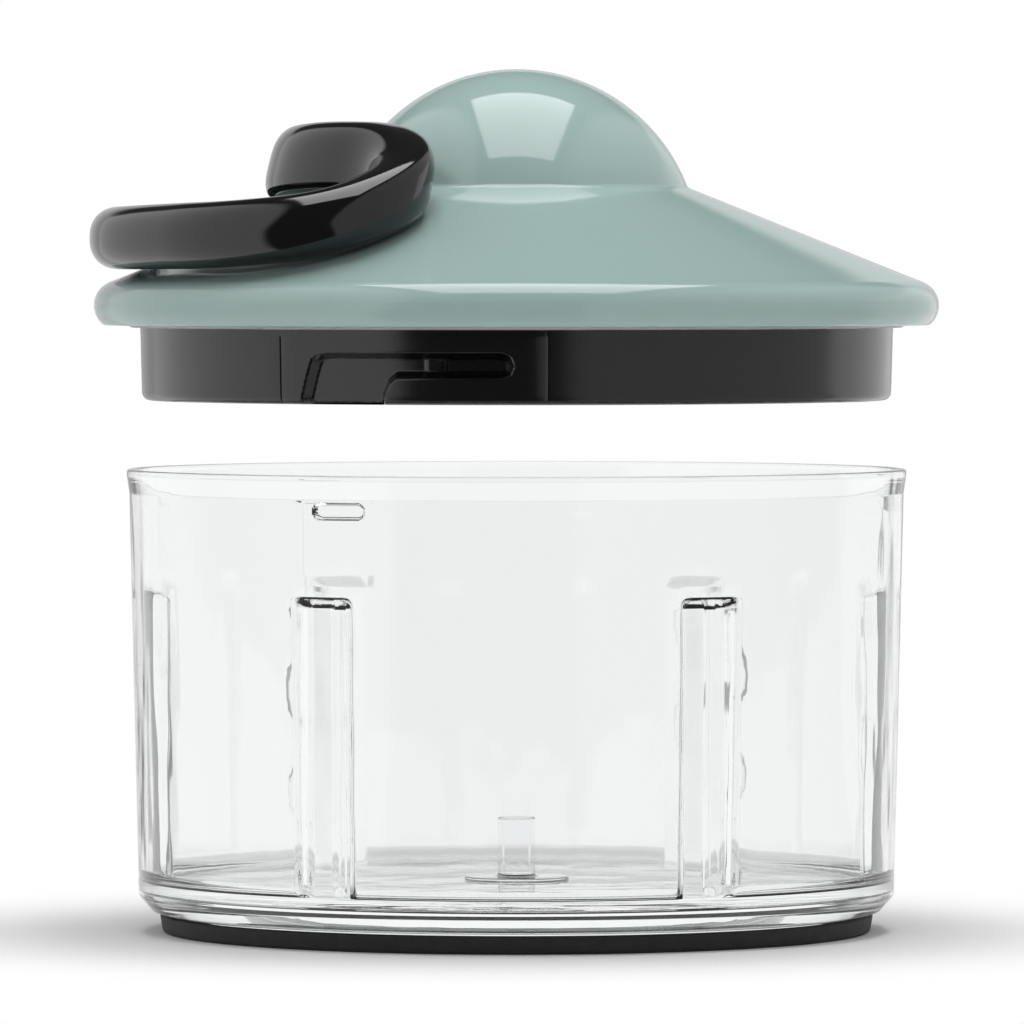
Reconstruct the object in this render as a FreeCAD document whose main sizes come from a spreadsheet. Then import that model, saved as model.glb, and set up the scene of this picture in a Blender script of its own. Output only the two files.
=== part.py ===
import FreeCAD, Part

import math
import os

import Sketcher

# Pull-cord food chopper, lid held above its clear bowl. Millimetres, +Z up.
# Origin: centre of the foot ring's resting face. The handle points to -X and the front faces -Y.

DRIVING = {
    "bowl_height": 74.0,
    "bowl_radius": 62.0,
    "bowl_low_radius": 60.5,
    "bowl_wall": 1.5,
    "lip_height": 1.2,
    "lip_reach": 0.5,
    "base_top": 9.1,
    "base_step": 3.8,
    "base_radius": 58.0,
    "base_bevel": 3.0,
    "floor_height": 8.3,
    "floor_thickness": 2.2,
    "floor_fillet": 3.0,
    "base_rim_inset": 2.0,
    "base_rim_thickness": 2.0,
    "post_radius": 3.0,
    "post_height": 10.0,
    "post_disc_radius": 8.4,
    "post_disc_height": 0.5,
    "rib_count": 6,
    "rib_angle": 30.0,
    "rib_width": 9.4,
    "rib_reach": 3.4,
    "rib_height": 47.0,
    "rib_corner": 1.6,
    "lug_count": 3,
    "lug_angle": 27.0,
    "lug_width": 8.8,
    "lug_thickness": 2.6,
    "lug_reach": 1.4,
    "lug_drop": 5.5,
    "foot_wall": 1.5,
    "foot_floor": 1.5,
    "lid_gap": 23.0,
    "skirt_gap": 0.3,
    "skirt_depth": 12.0,
    "skirt_wall": 3.2,
    "skirt_taper": 0.3,
    "skirt_corner": 1.4,
    "plate_thickness": 2.4,
    "flange_margin": 1.7,
    "seal_width": 1.8,
    "seal_thickness": 1.5,
    "seal_drop": 0.4,
    "seal_gap": 0.15,
    "cover_overhang": 3.5,
    "cover_wall": 2.2,
    "cover_fit": 0.2,
    "bead_height": 6.8,
    "bead_round": 4.0,
    "bead_inset": 1.5,
    "shoulder_inset": 2.3,
    "dome_radius": 29.3,
    "dome_centre": 11.6,
    "crease_inset": 1.9,
    "cover_boss_radius": 3.2,
    "cover_boss_circle": 44.0,
    "cover_screw_count": 4,
    "cover_screw_angle": 45.0,
    "screw_radius": 1.25,
    "screw_head_radius": 2.8,
    "screw_head_height": 1.6,
    "screw_bite": 8.0,
    "slot_play": 0.4,
    "groove_depth": 1.8,
    "turn_angle": 21.9,
    "hub_radius": 6.0,
    "hub_running_gap": 0.05,
    "bush_wall": 2.0,
    "bush_height": 7.0,
    "boss_wall": 3.5,
    "boss_drop": 4.5,
    "bore_lip": 0.8,
    "socket_across": 6.4,
    "socket_depth": 8.0,
    "hub_drop": 8.0,
    "washer_thickness": 0.8,
    "collar_height": 1.6,
    "stem_radius": 4.5,
    "stem_seat": 3.0,
    "axle_radius": 2.0,
    "axle_running_gap": 0.05,
    "axle_head_radius": 3.5,
    "axle_head_height": 1.5,
    "spool_radius": 17.2,
    "spool_flange": 1.0,
    "spool_core_radius": 12.0,
    "spool_groove": 7.2,
    "spool_base": 19.0,
    "pocket_radius": 10.5,
    "housing_wall": 1.2,
    "housing_gap": 0.6,
    "housing_flange_radius": 26.0,
    "housing_flange_height": 1.6,
    "housing_screw_circle": 22.4,
    "housing_screw_count": 3,
    "housing_screw_angle": 0.0,
    "cord_radius": 0.75,
    "cord_play": 0.2,
    "cord_height": 25.5,
    "winding_radius": 15.0,
    "spring_strip": 0.3,
    "spring_pitch": 0.76,
    "spring_turns": 9,
    "spring_height": 6.0,
    "bushing_radius": 2.2,
    "bushing_flange_radius": 3.0,
    "bushing_flange": 1.4,
    "handle_radius": 5.0,
    "handle_gap": 0.42,
    "handle_setback": 4.3,
    "handle_side_setback": 17.5,
    "handle_inner_gap": 2.4,
    "handle_low": 0.91,
    "handle_high": 1.5,
    "knot_radius": 2.0,
    "plug_thickness": 1.2,
}

doc = FreeCAD.newDocument("pull_cord_chopper")
sheet = doc.addObject("Spreadsheet::Sheet", "sizes")
for row, (alias, value) in enumerate(DRIVING.items(), start=1):
    sheet.set("A%d" % row, alias)
    sheet.set("B%d" % row, str(value))
    sheet.setAlias("B%d" % row, alias)
doc.recompute()


class Size:
    """A length that carries both its number and the sheet expression that gives it."""

    def __init__(self, value, text):
        self.value = float(value)
        self.text = text

    def join(self, other, sign, value, swap=False):
        mine, theirs = self.text, as_size(other).text
        left, right = (theirs, mine) if swap else (mine, theirs)
        return Size(value, "(%s %s %s)" % (left, sign, right))

    def __add__(self, other):
        return self.join(other, "+", self.value + as_size(other).value)

    def __radd__(self, other):
        return self.join(other, "+", self.value + as_size(other).value, True)

    def __sub__(self, other):
        return self.join(other, "-", self.value - as_size(other).value)

    def __rsub__(self, other):
        return self.join(other, "-", as_size(other).value - self.value, True)

    def __mul__(self, other):
        return self.join(other, "*", self.value * as_size(other).value)

    def __rmul__(self, other):
        return self.join(other, "*", self.value * as_size(other).value, True)

    def __truediv__(self, other):
        return self.join(other, "/", self.value / as_size(other).value)

    def __neg__(self):
        return Size(-self.value, "(0 - %s)" % self.text)


def as_size(value):
    return value if isinstance(value, Size) else Size(value, repr(float(value)))


def root(size):
    return Size(math.sqrt(size.value), "sqrt(%s)" % size.text)


def sine(size):
    return Size(math.sin(math.radians(size.value)), "sin((%s) * 1 deg)" % size.text)


def cosine(size):
    return Size(math.cos(math.radians(size.value)), "cos((%s) * 1 deg)" % size.text)


class Sheet:
    """Reads a size from the sheet by its alias."""

    def __getattr__(self, alias):
        return Size(sheet.get(alias), "sizes." + alias)


s = Sheet()

# Heights and radii that several pieces share
bowl_inner = s.bowl_radius - s.bowl_wall
wall_lean = (s.bowl_radius - s.bowl_low_radius) / (s.bowl_height - s.base_top)
floor_inner = bowl_inner - wall_lean * (s.bowl_height - s.floor_height)
floor_under = s.floor_height - s.floor_thickness
rim_outer = s.base_radius - s.base_rim_inset
rim_inner = rim_outer - s.base_rim_thickness
lug_height = s.bowl_height - s.lug_drop
lid_floor = s.bowl_height + s.lid_gap
plate_top = lid_floor + s.plate_thickness
skirt_outer = bowl_inner - s.skirt_gap
skirt_inner = skirt_outer - s.skirt_wall
skirt_bottom = lid_floor - s.skirt_depth
seal_recess = skirt_outer + s.seal_width + s.seal_gap * 2.0
flange_radius = seal_recess + s.flange_margin
cover_radius = flange_radius + s.cover_overhang
shoulder = cover_radius - s.shoulder_inset
shoulder_height = lid_floor + s.bead_height
slot_height = lid_floor - s.seal_drop - s.lug_drop
dome_centre = lid_floor + s.dome_centre
dome_inner = s.dome_radius - s.cover_wall
crease_radius = s.dome_radius - s.crease_inset
crease = dome_centre + root(s.dome_radius * s.dome_radius - crease_radius * crease_radius)
cone_slope = (crease - shoulder_height) / (shoulder - crease_radius)
bore_radius = s.hub_radius + s.bush_wall
boss_radius = bore_radius + s.boss_wall
boss_bottom = lid_floor - s.boss_drop
bush_top = lid_floor + s.bush_height
hub_bottom = lid_floor - s.hub_drop
hub_collar = bush_top + s.washer_thickness + s.hub_running_gap
hub_top = hub_collar + s.collar_height
stem_bottom = hub_top - s.stem_seat
spool_bottom = lid_floor + s.spool_base
groove_bottom = spool_bottom + s.spool_flange
groove_top = groove_bottom + s.spool_groove
spool_top = groove_top + s.spool_flange
pocket_floor = groove_bottom + s.spool_flange / 2.0
cord_z = lid_floor + s.cord_height
housing_inner = s.spool_radius + s.housing_gap
housing_outer = housing_inner + s.housing_wall
housing_ceiling = spool_top + s.housing_gap
housing_top = housing_ceiling + s.housing_wall
boss_top = plate_top + s.screw_bite
cord_rise = s.cord_height - s.dome_centre
bushing_seat = root(s.dome_radius * s.dome_radius - cord_rise * cord_rise)
handle_reach = cover_radius - s.handle_setback
handle_width = cover_radius - s.handle_side_setback
handle_inner = bushing_seat + s.bushing_flange + s.handle_inner_gap + s.handle_radius

PIECES = {}


def plane(body, role):
    for feature in body.Origin.OriginFeatures:
        if feature.Role == role:
            return feature
    raise RuntimeError("no plane called " + role)


def bend(start, end, radius, side):
    """Middle point of the short arc from start to end that bulges to its left (1) or right (-1)."""
    chord = end - start
    half = chord.Length / 2.0
    rise = radius - math.sqrt(max(radius * radius - half * half, 0.0))
    across = FreeCAD.Vector(-chord.y, chord.x, 0.0).normalize()
    return (start + end) * 0.5 + across * (rise * side)


def draw(sketch, corners):
    """Closed outline. A corner is (x, y), or (x, y, radius, side) where an arc leaves it."""
    points = [FreeCAD.Vector(as_size(c[0]).value, as_size(c[1]).value, 0.0) for c in corners]
    curves = []
    for i, corner in enumerate(corners):
        a, b = points[i], points[(i + 1) % len(points)]
        if len(corner) == 2:
            curves.append(Part.LineSegment(a, b))
        else:
            curves.append(Part.Arc(a, bend(a, b, as_size(corner[2]).value, corner[3]), b))
    sketch.addGeometry(curves, False)
    starts = [1 if (sketch.getPoint(i, 1) - a).Length < 1e-6 else 2 for i, a in enumerate(points)]
    rules = []
    bound = []
    for i, corner in enumerate(corners):
        following = (i + 1) % len(corners)
        rules.append(Sketcher.Constraint("Coincident", i, 3 - starts[i], following, starts[following]))
        for kind, size in (("DistanceX", as_size(corner[0])), ("DistanceY", as_size(corner[1]))):
            if abs(size.value) < 1e-9:
                axis = -2 if kind == "DistanceX" else -1
                rules.append(Sketcher.Constraint("PointOnObject", i, starts[i], axis))
            elif size.value > 0.0:
                bound.append((len(rules), size.text))
                rules.append(Sketcher.Constraint(kind, -1, 1, i, starts[i], size.value))
            else:
                bound.append((len(rules), (-size).text))
                rules.append(Sketcher.Constraint(kind, i, starts[i], -1, 1, -size.value))
        if len(corner) == 4:
            radius = as_size(corner[2])
            bound.append((len(rules), radius.text))
            rules.append(Sketcher.Constraint("Radius", i, radius.value))
    sketch.addConstraint(rules)
    for index, text in bound:
        sketch.setExpression("Constraints[%d]" % index, text)


def new_sketch(body, name, role):
    sketch = body.newObject("Sketcher::SketchObject", name)
    sketch.AttachmentSupport = (plane(body, role), [""])
    sketch.MapMode = "FlatFace"
    return sketch


def turned(name, corners, seam=0.0):
    """Body of revolution about Z; corners are (radius, height). The seam is where its surfaces close."""
    body = doc.addObject("PartDesign::Body", name)
    sketch = new_sketch(body, name + "_profile", "XZ_Plane")
    turn = FreeCAD.Rotation(FreeCAD.Vector(0, 1, 0), seam)
    sketch.AttachmentOffset = FreeCAD.Placement(FreeCAD.Vector(0, 0, 0), turn)
    draw(sketch, corners)
    feature = body.newObject("PartDesign::Revolution", name + "_turn")
    feature.Profile = sketch
    feature.ReferenceAxis = (sketch, ["V_Axis"])
    feature.Angle = 360.0
    return body


def ring(name, inner, outer, bottom, top):
    return turned(name, [(inner, bottom), (outer, bottom), (outer, top), (inner, top)])


def bind(obj, **sizes):
    for prop, size in sizes.items():
        obj.setExpression(prop, as_size(size).text)


def rod(name, radius, length, x=0.0, y=0.0, z=0.0, along="Z"):
    """Cylinder from (x, y, z) along +Z or -X."""
    obj = doc.addObject("Part::Cylinder", name)
    bind(obj, Radius=radius, Height=length)
    if along == "-X":
        obj.Placement.Rotation = FreeCAD.Rotation(FreeCAD.Vector(0, 1, 0), -90)
    for letter, size in (("x", x), ("y", y), ("z", z)):
        obj.setExpression("Placement.Base." + letter, as_size(size).text)
    return obj


def boolean(kind, name, base, tool):
    obj = doc.addObject("Part::" + kind, name)
    obj.Base = base
    obj.Tool = tool
    return obj


def joined(name, shapes):
    obj = doc.addObject("Part::MultiFuse", name)
    obj.Shapes = shapes
    return obj


def grouped(name, shapes):
    obj = doc.addObject("Part::Compound", name)
    obj.Links = shapes
    return obj


def piece(node, obj):
    obj.Label = node
    PIECES[node] = obj
    return obj


def polar(body, feature, count, name):
    """Repeat a feature of the body about Z."""
    pattern = body.newObject("PartDesign::PolarPattern", name)
    pattern.Originals = [feature]
    pattern.Axis = (plane(body, "Z_Axis"), [""])
    pattern.Angle = 360.0
    pattern.Occurrences = int(count.value)
    pattern.setExpression("Occurrences", count.text)
    body.Tip = pattern
    return pattern


def face_front(sketch, angle, reach):
    """Turn an XZ sketch about Z by an angle to the right of the front and stand it at a radius."""
    turn = FreeCAD.Rotation(FreeCAD.Vector(0, 1, 0), angle.value)
    sketch.AttachmentOffset = FreeCAD.Placement(FreeCAD.Vector(0, 0, 0), turn)
    sketch.setExpression("AttachmentOffset.Rotation.Angle", angle.text + " * 1 deg")
    sketch.setExpression("AttachmentOffset.Base.x", (reach * sine(angle)).text)
    sketch.setExpression("AttachmentOffset.Base.z", (reach * cosine(angle)).text)


# Bowl: clear shell with a stepped base, inner ribs, locking lugs and the blade's centre post
def make_bowl():
    top = s.bowl_height
    lip_low = top - s.lip_height
    body = turned("bowl_body", [
        (0.0, floor_under),
        (rim_inner, floor_under),
        (rim_inner, s.foot_floor),
        (rim_outer, s.foot_floor),
        (rim_outer, s.base_step),
        (s.base_radius, s.base_step),
        (s.bowl_low_radius, s.base_step + s.base_bevel),
        (s.bowl_low_radius, s.base_top),
        (s.bowl_radius - wall_lean * (s.lip_height + s.lip_reach), lip_low - s.lip_reach),
        (s.bowl_radius + s.lip_reach, lip_low),
        (s.bowl_radius + s.lip_reach, top),
        (bowl_inner, top),
        (floor_inner + wall_lean * s.floor_fillet, s.floor_height + s.floor_fillet, s.floor_fillet, -1),
        (floor_inner - s.floor_fillet, s.floor_height),
        (s.post_disc_radius, s.floor_height),
        (s.post_disc_radius, s.floor_height + s.post_disc_height),
        (s.post_radius, s.floor_height + s.post_disc_height),
        (s.post_radius, s.floor_height + s.post_height),
        (0.0, s.floor_height + s.post_height),
    ], seam=30.0)
    rib = new_sketch(body, "rib_section", "XY_Plane")
    turn = FreeCAD.Rotation(FreeCAD.Vector(0, 0, 1), s.rib_angle.value)
    rib.AttachmentOffset = FreeCAD.Placement(FreeCAD.Vector(0, 0, 0), turn)
    rib.setExpression("AttachmentOffset.Rotation.Angle", s.rib_angle.text + " * 1 deg")
    rib.setExpression("AttachmentOffset.Base.z", (s.floor_height - s.post_disc_height).text)
    half = s.rib_width / 2.0
    back = s.bowl_low_radius - s.bowl_wall / 6.0
    far = root(back * back - half * half)
    near = floor_inner - s.rib_reach
    draw(rib, [
        (-half, -far, back, -1),
        (half, -far),
        (half, -near - s.rib_corner, s.rib_corner, -1),
        (half - s.rib_corner, -near),
        (s.rib_corner - half, -near, s.rib_corner, -1),
        (-half, -near - s.rib_corner),
    ])
    pad = body.newObject("PartDesign::Pad", "rib_pad")
    pad.Profile = rib
    bind(pad, Length=s.rib_height)
    polar(body, pad, s.rib_count, "rib_ring")
    lug = new_sketch(body, "lug_outline", "XZ_Plane")
    lug_inner = bowl_inner - wall_lean * s.lug_drop - s.lug_reach
    face_front(lug, -s.lug_angle, lug_inner)
    end = s.lug_thickness / 2.0
    flat = s.lug_width / 2.0 - end
    draw(lug, [
        (-flat, lug_height - end),
        (flat, lug_height - end, end, -1),
        (flat + end, lug_height, end, -1),
        (flat, lug_height + end),
        (-flat, lug_height + end, end, -1),
        (-flat - end, lug_height, end, -1),
    ])
    lug_pad = body.newObject("PartDesign::Pad", "lug_pad")
    lug_pad.Profile = lug
    bind(lug_pad, Length=s.lug_reach + s.bowl_wall / 2.0)
    polar(body, lug_pad, s.lug_count, "lug_ring")
    piece("bowl", body)


# Foot ring: soft channel that grips the bowl's base rim
def make_foot_ring():
    top = s.base_step
    outer = rim_outer + s.foot_wall
    inner = rim_inner - s.foot_wall
    piece("foot_ring", turned("foot_ring_body", [
        (inner, 0.0),
        (outer - s.foot_wall / 3.0, 0.0),
        (outer, s.foot_wall / 3.0),
        (outer, top),
        (rim_outer, top),
        (rim_outer, s.foot_floor),
        (rim_inner, s.foot_floor),
        (rim_inner, top),
        (inner, top),
    ]))


# Lid seal: soft ring between the bowl's rim and the lid, on which the lid turns
def make_lid_seal():
    inner = skirt_outer + s.seal_gap
    bottom = lid_floor - s.seal_drop
    piece("lid_seal", ring("lid_seal_body", inner, inner + s.seal_width, bottom, bottom + s.seal_thickness))


def screw(name, x, y, head_bottom, bite):
    """Screw driven upwards, with its head below and a round drive recess."""
    recess = s.screw_radius
    top = head_bottom + s.screw_head_height
    body = turned(name, [
        (0.0, head_bottom + s.screw_head_height / 2.0),
        (recess, head_bottom + s.screw_head_height / 2.0),
        (recess, head_bottom),
        (s.screw_head_radius - s.screw_head_height / 3.0, head_bottom),
        (s.screw_head_radius, head_bottom + s.screw_head_height / 3.0),
        (s.screw_head_radius, top),
        (s.screw_radius, top),
        (s.screw_radius, top + bite - s.screw_radius),
        (0.0, top + bite),
    ])
    for letter, size in (("x", x), ("y", y)):
        body.setExpression("Placement.Base." + letter, as_size(size).text)
    return body


def around(circle, count, first):
    """Places on a circle: sizes for x and y."""
    for i in range(int(count.value)):
        angle = first + as_size(360.0 * i) / count
        yield i, circle * cosine(angle), circle * sine(angle)


def cover_screw_places():
    return around(s.cover_boss_circle, s.cover_screw_count, s.cover_screw_angle)


def housing_screw_places():
    return around(s.housing_screw_circle, s.housing_screw_count, s.housing_screw_angle)



# Lid cover: dome, cone and rolled rim, with screw bosses and the cord's hole
def make_lid_cover():
    inner_crease_radius = crease_radius - s.cover_wall * 0.8
    inner_crease = dome_centre + root(dome_inner * dome_inner - inner_crease_radius * inner_crease_radius)
    pocket = flange_radius + s.cover_fit
    pocket_height = shoulder_height + cone_slope * (shoulder - pocket) - s.cover_wall * 1.1
    shell = turned("cover_shell", [
        (0.0, lid_floor + s.dome_centre + dome_inner, dome_inner, 1),
        (inner_crease_radius, inner_crease),
        (pocket, pocket_height),
        (pocket, lid_floor),
        (cover_radius - s.bead_inset, lid_floor, s.bead_round, -1),
        (shoulder, shoulder_height),
        (crease_radius, crease, s.dome_radius, -1),
        (0.0, dome_centre + s.dome_radius),
    ])
    bosses = []
    holes = []
    boss_height = crease - cone_slope * (s.cover_boss_circle - crease_radius) - s.cover_wall - plate_top
    for i, x, y in cover_screw_places():
        bosses.append(rod("cover_boss_%d" % i, s.cover_boss_radius, boss_height, x, y, plate_top))
        holes.append(rod("cover_boss_hole_%d" % i, s.screw_radius, s.screw_bite, x, y, plate_top))
    neck = rod("cord_hole", s.bushing_radius, s.dome_radius, 0.0, 0.0, cord_z, "-X")
    face_radius = s.bushing_flange_radius + s.cord_play
    face = rod("cord_face", face_radius, s.dome_radius, -bushing_seat, 0.0, cord_z, "-X")
    solid = joined("cover_solid", [shell] + bosses)
    piece("lid_cover", boolean("Cut", "cover_bored", solid, joined("cover_holes", holes + [neck, face])))


# Lid base: plate, central bearing boss and the grooved skirt that enters the bowl
def make_lid_base():
    recess_top = lid_floor - s.seal_drop + s.seal_thickness + s.seal_gap / 3.0
    low_outer = skirt_outer - s.skirt_taper
    lip = s.hub_radius + s.hub_running_gap + s.bush_wall / 2.0
    body = turned("base_body", [
        (lip, boss_bottom),
        (boss_radius, boss_bottom),
        (boss_radius, lid_floor),
        (skirt_inner, lid_floor),
        (skirt_inner, skirt_bottom),
        (low_outer - s.skirt_corner, skirt_bottom, s.skirt_corner, -1),
        (low_outer, skirt_bottom + s.skirt_corner),
        (skirt_outer, lid_floor),
        (skirt_outer, recess_top),
        (seal_recess, recess_top),
        (seal_recess, lid_floor),
        (flange_radius, lid_floor),
        (flange_radius, plate_top),
        (boss_radius, plate_top),
        (boss_radius, bush_top),
        (bore_radius, bush_top),
        (bore_radius, boss_bottom + s.bore_lip),
        (lip, boss_bottom + s.bore_lip),
    ], seam=60.0)
    middle = s.lug_angle - s.turn_angle / 2.0
    swing = sine(s.turn_angle / 2.0) * skirt_outer
    half = s.lug_width / 2.0
    play = s.slot_play
    low = slot_height - s.lug_thickness / 2.0 - play
    high = slot_height + s.lug_thickness / 2.0 + play
    end = (high - low) / 2.0
    left = -swing - half
    right = swing + half + play - end
    mouth = half - swing
    under = skirt_bottom - play
    cutter = doc.addObject("PartDesign::Body", "groove_cutter")
    outline = new_sketch(cutter, "groove_outline", "XZ_Plane")
    face_front(outline, -middle, skirt_inner - s.skirt_wall)
    draw(outline, [
        (left - play * 6.0, under),
        (mouth + play * 6.0, under),
        (mouth + play * 7.0, low - s.lug_thickness),
        (mouth + play * 12.0, low),
        (right, low, end, -1),
        (right + end, slot_height, end, -1),
        (right, high),
        (left + play * 5.0, high),
        (left + play * 0.5, high - play * 1.5),
        (left - play * 2.0, low),
    ])
    pad = cutter.newObject("PartDesign::Pad", "groove_pad")
    pad.Profile = outline
    bind(pad, Length=s.skirt_wall * 4.0)
    polar(cutter, pad, s.lug_count, "groove_ring")
    window = doc.addObject("PartDesign::Body", "window_cutter")
    window_outline = new_sketch(window, "window_outline", "XZ_Plane")
    face_front(window_outline, -middle, skirt_inner - s.skirt_wall)
    draw(window_outline, [
        (right - s.lug_width, low + play),
        (right, low + play, end - play, -1),
        (right + end - play, slot_height, end - play, -1),
        (right, high - play),
        (right - s.lug_width, high - play),
    ])
    window_pad = window.newObject("PartDesign::Pad", "window_pad")
    window_pad.Profile = window_outline
    bind(window_pad, Length=s.skirt_wall * 4.0)
    polar(window, window_pad, s.lug_count, "window_ring")
    band = ring("groove_band", skirt_outer - s.groove_depth, skirt_outer + play, under - play, lid_floor)
    groove = boolean("Common", "groove_cut", cutter, band)
    tools = [groove, window]
    through = s.plate_thickness * 2.0
    for i, x, y in cover_screw_places():
        tools.append(rod("base_cover_hole_%d" % i, s.screw_radius, through, x, y, lid_floor - play))
    for i, x, y in housing_screw_places():
        tools.append(rod("base_housing_hole_%d" % i, s.screw_radius, through, x, y, lid_floor - play))
    piece("lid_base", boolean("Cut", "base_cut", body, joined("base_tools", tools)))


def make_screw_set(node, places):
    under_plate = lid_floor - s.screw_head_height
    length = s.plate_thickness + s.screw_bite - s.screw_radius / 2.0
    screws = [screw("%s_%d" % (node, i), x, y, under_plate, length) for i, x, y in places]
    piece(node, grouped(node + "_set", screws))


# Spool housing: cup screwed to the plate, which holds the axle's head and lets the cord out
def make_spool_housing():
    cup = turned("housing_cup", [
        (s.axle_radius, housing_ceiling),
        (housing_inner, housing_ceiling),
        (housing_inner, plate_top),
        (s.housing_flange_radius, plate_top),
        (s.housing_flange_radius, plate_top + s.housing_flange_height),
        (housing_outer, plate_top + s.housing_flange_height),
        (housing_outer, housing_top),
        (s.axle_radius, housing_top),
    ])
    bosses = []
    holes = []
    height = s.screw_bite + s.screw_radius
    for i, x, y in housing_screw_places():
        bosses.append(rod("housing_boss_%d" % i, s.cover_boss_radius, height, x, y, plate_top))
        holes.append(rod("housing_hole_%d" % i, s.screw_radius, s.screw_bite, x, y, plate_top))
    slot = doc.addObject("Part::Box", "cord_slot")
    slot_width = housing_outer
    bind(slot, Length=housing_outer, Width=slot_width, Height=s.bushing_radius * 2.0)
    corner = (-housing_outer - s.cord_play, -s.bushing_radius, cord_z - s.bushing_radius)
    for letter, size in zip("xyz", corner):
        slot.setExpression("Placement.Base." + letter, size.text)
    solid = joined("housing_solid", [cup] + bosses)
    tools = joined("housing_tools", holes + [slot])
    piece("spool_housing", boolean("Cut", "housing_cut", solid, tools))


# Axle: headed steel pin, pressed into the housing's top
def make_spool_axle():
    bottom = pocket_floor - s.spool_base / 2.0
    piece("spool_axle", turned("axle_body", [
        (0.0, bottom),
        (s.axle_radius, bottom),
        (s.axle_radius, housing_top),
        (s.axle_head_radius, housing_top),
        (s.axle_head_radius, housing_top + s.axle_head_height),
        (0.0, housing_top + s.axle_head_height),
    ]))


# Spool: cord groove outside, spring pocket inside, stem below for the drive hub
def make_spool():
    bore = s.axle_radius + s.axle_running_gap
    bore_bottom = pocket_floor - s.spool_base / 2.0 - s.axle_running_gap * 4.0
    screw_top = stem_bottom + s.stem_seat + s.screw_radius
    piece("spool", turned("spool_body", [
        (0.0, screw_top),
        (s.screw_radius, screw_top),
        (s.screw_radius, stem_bottom),
        (s.stem_radius, stem_bottom),
        (s.stem_radius, spool_bottom),
        (s.spool_radius, spool_bottom),
        (s.spool_radius, groove_bottom),
        (s.spool_core_radius, groove_bottom),
        (s.spool_core_radius, groove_top),
        (s.spool_radius, groove_top),
        (s.spool_radius, spool_top),
        (s.pocket_radius, spool_top),
        (s.pocket_radius, pocket_floor),
        (bore, pocket_floor),
        (bore, bore_bottom),
        (0.0, bore_bottom),
    ]))


# Recoil spring: flat strip wound in half turns whose centres alternate
def make_recoil_spring():
    pitch = s.spring_pitch.value
    strip = s.spring_strip.value
    turns = int(s.spring_turns.value)
    first = s.axle_radius.value + s.axle_running_gap.value + strip
    edges = {1: [], -1: []}
    for half in range(2 * turns):
        centre = FreeCAD.Vector(pitch / 2.0 if half % 2 else 0.0, 0, 0)
        up = 1.0 if half % 2 == 0 else -1.0
        radius = first + pitch / 4.0 + half * pitch / 2.0
        for side in edges:
            r = radius + side * strip / 2.0
            start = centre + FreeCAD.Vector(r * up, 0, 0)
            top = centre + FreeCAD.Vector(0, r * up, 0)
            end = centre - FreeCAD.Vector(r * up, 0, 0)
            edges[side].append(Part.Arc(start, top, end).toShape())
    outer, inner = edges[1], edges[-1]
    start = Part.LineSegment(*[edge.valueAt(edge.FirstParameter) for edge in (inner[0], outer[0])])
    close = Part.LineSegment(*[edge.valueAt(edge.LastParameter) for edge in (inner[-1], outer[-1])])
    wire = Part.Wire(Part.__sortEdges__(outer + [close.toShape()] + inner + [start.toShape()]))
    solid = Part.Face(wire).extrude(FreeCAD.Vector(0, 0, s.spring_height.value))
    print("spring: least gap between turns %.2f mm" % (pitch - strip))
    spring = doc.addObject("Part::Feature", "spring_strip")
    spring.Shape = solid
    spring.Placement.Base = FreeCAD.Vector(0, 0, (pocket_floor + s.spring_strip).value)
    piece("recoil_spring", spring)


# Pieces that turn with the spool, and the bearing that carries them
def make_drive():
    cap_bottom = spool_top - s.spool_flange
    piece("spring_cap", ring("cap_body", s.axle_radius + s.cord_play, s.pocket_radius, cap_bottom, spool_top))
    winding = ring("winding_body", s.spool_core_radius, s.winding_radius, groove_bottom, groove_top)
    piece("cord_winding", winding)
    socket_top = hub_bottom + s.socket_depth
    head_top = socket_top + s.screw_head_height
    hub = turned("hub_body", [
        (0.0, hub_bottom),
        (s.hub_radius, hub_bottom),
        (s.hub_radius, hub_collar),
        (s.hub_radius + s.bush_wall, hub_collar),
        (s.hub_radius + s.bush_wall, hub_top),
        (s.stem_radius, hub_top),
        (s.stem_radius, stem_bottom),
        (s.screw_radius, stem_bottom),
        (s.screw_radius, head_top),
        (s.screw_head_radius, head_top),
        (s.screw_head_radius, socket_top),
        (0.0, socket_top),
    ])
    socket = doc.addObject("Part::Prism", "drive_socket")
    socket.Polygon = 6
    corner_radius = s.socket_across / root(as_size(3.0))
    bind(socket, Circumradius=corner_radius, Height=s.socket_depth)
    socket.setExpression("Placement.Base.z", hub_bottom.text)
    piece("drive_hub", boolean("Cut", "hub_cut", hub, socket))
    bite = stem_bottom + s.stem_seat - head_top
    piece("hub_screw", screw("hub_screw_body", 0.0, 0.0, socket_top, bite))
    bush_inner = s.hub_radius + s.hub_running_gap
    piece("hub_bush", ring("bush_body", bush_inner, bore_radius, lid_floor, bush_top))
    washer_outer = boss_radius - s.bore_lip
    washer_top = bush_top + s.washer_thickness
    piece("thrust_washer", ring("washer_body", bush_inner, washer_outer, bush_top, washer_top))
    seal_bottom = boss_bottom + s.bore_lip
    piece("shaft_seal", ring("seal_body", bush_inner, bore_radius, seal_bottom, lid_floor))


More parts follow.
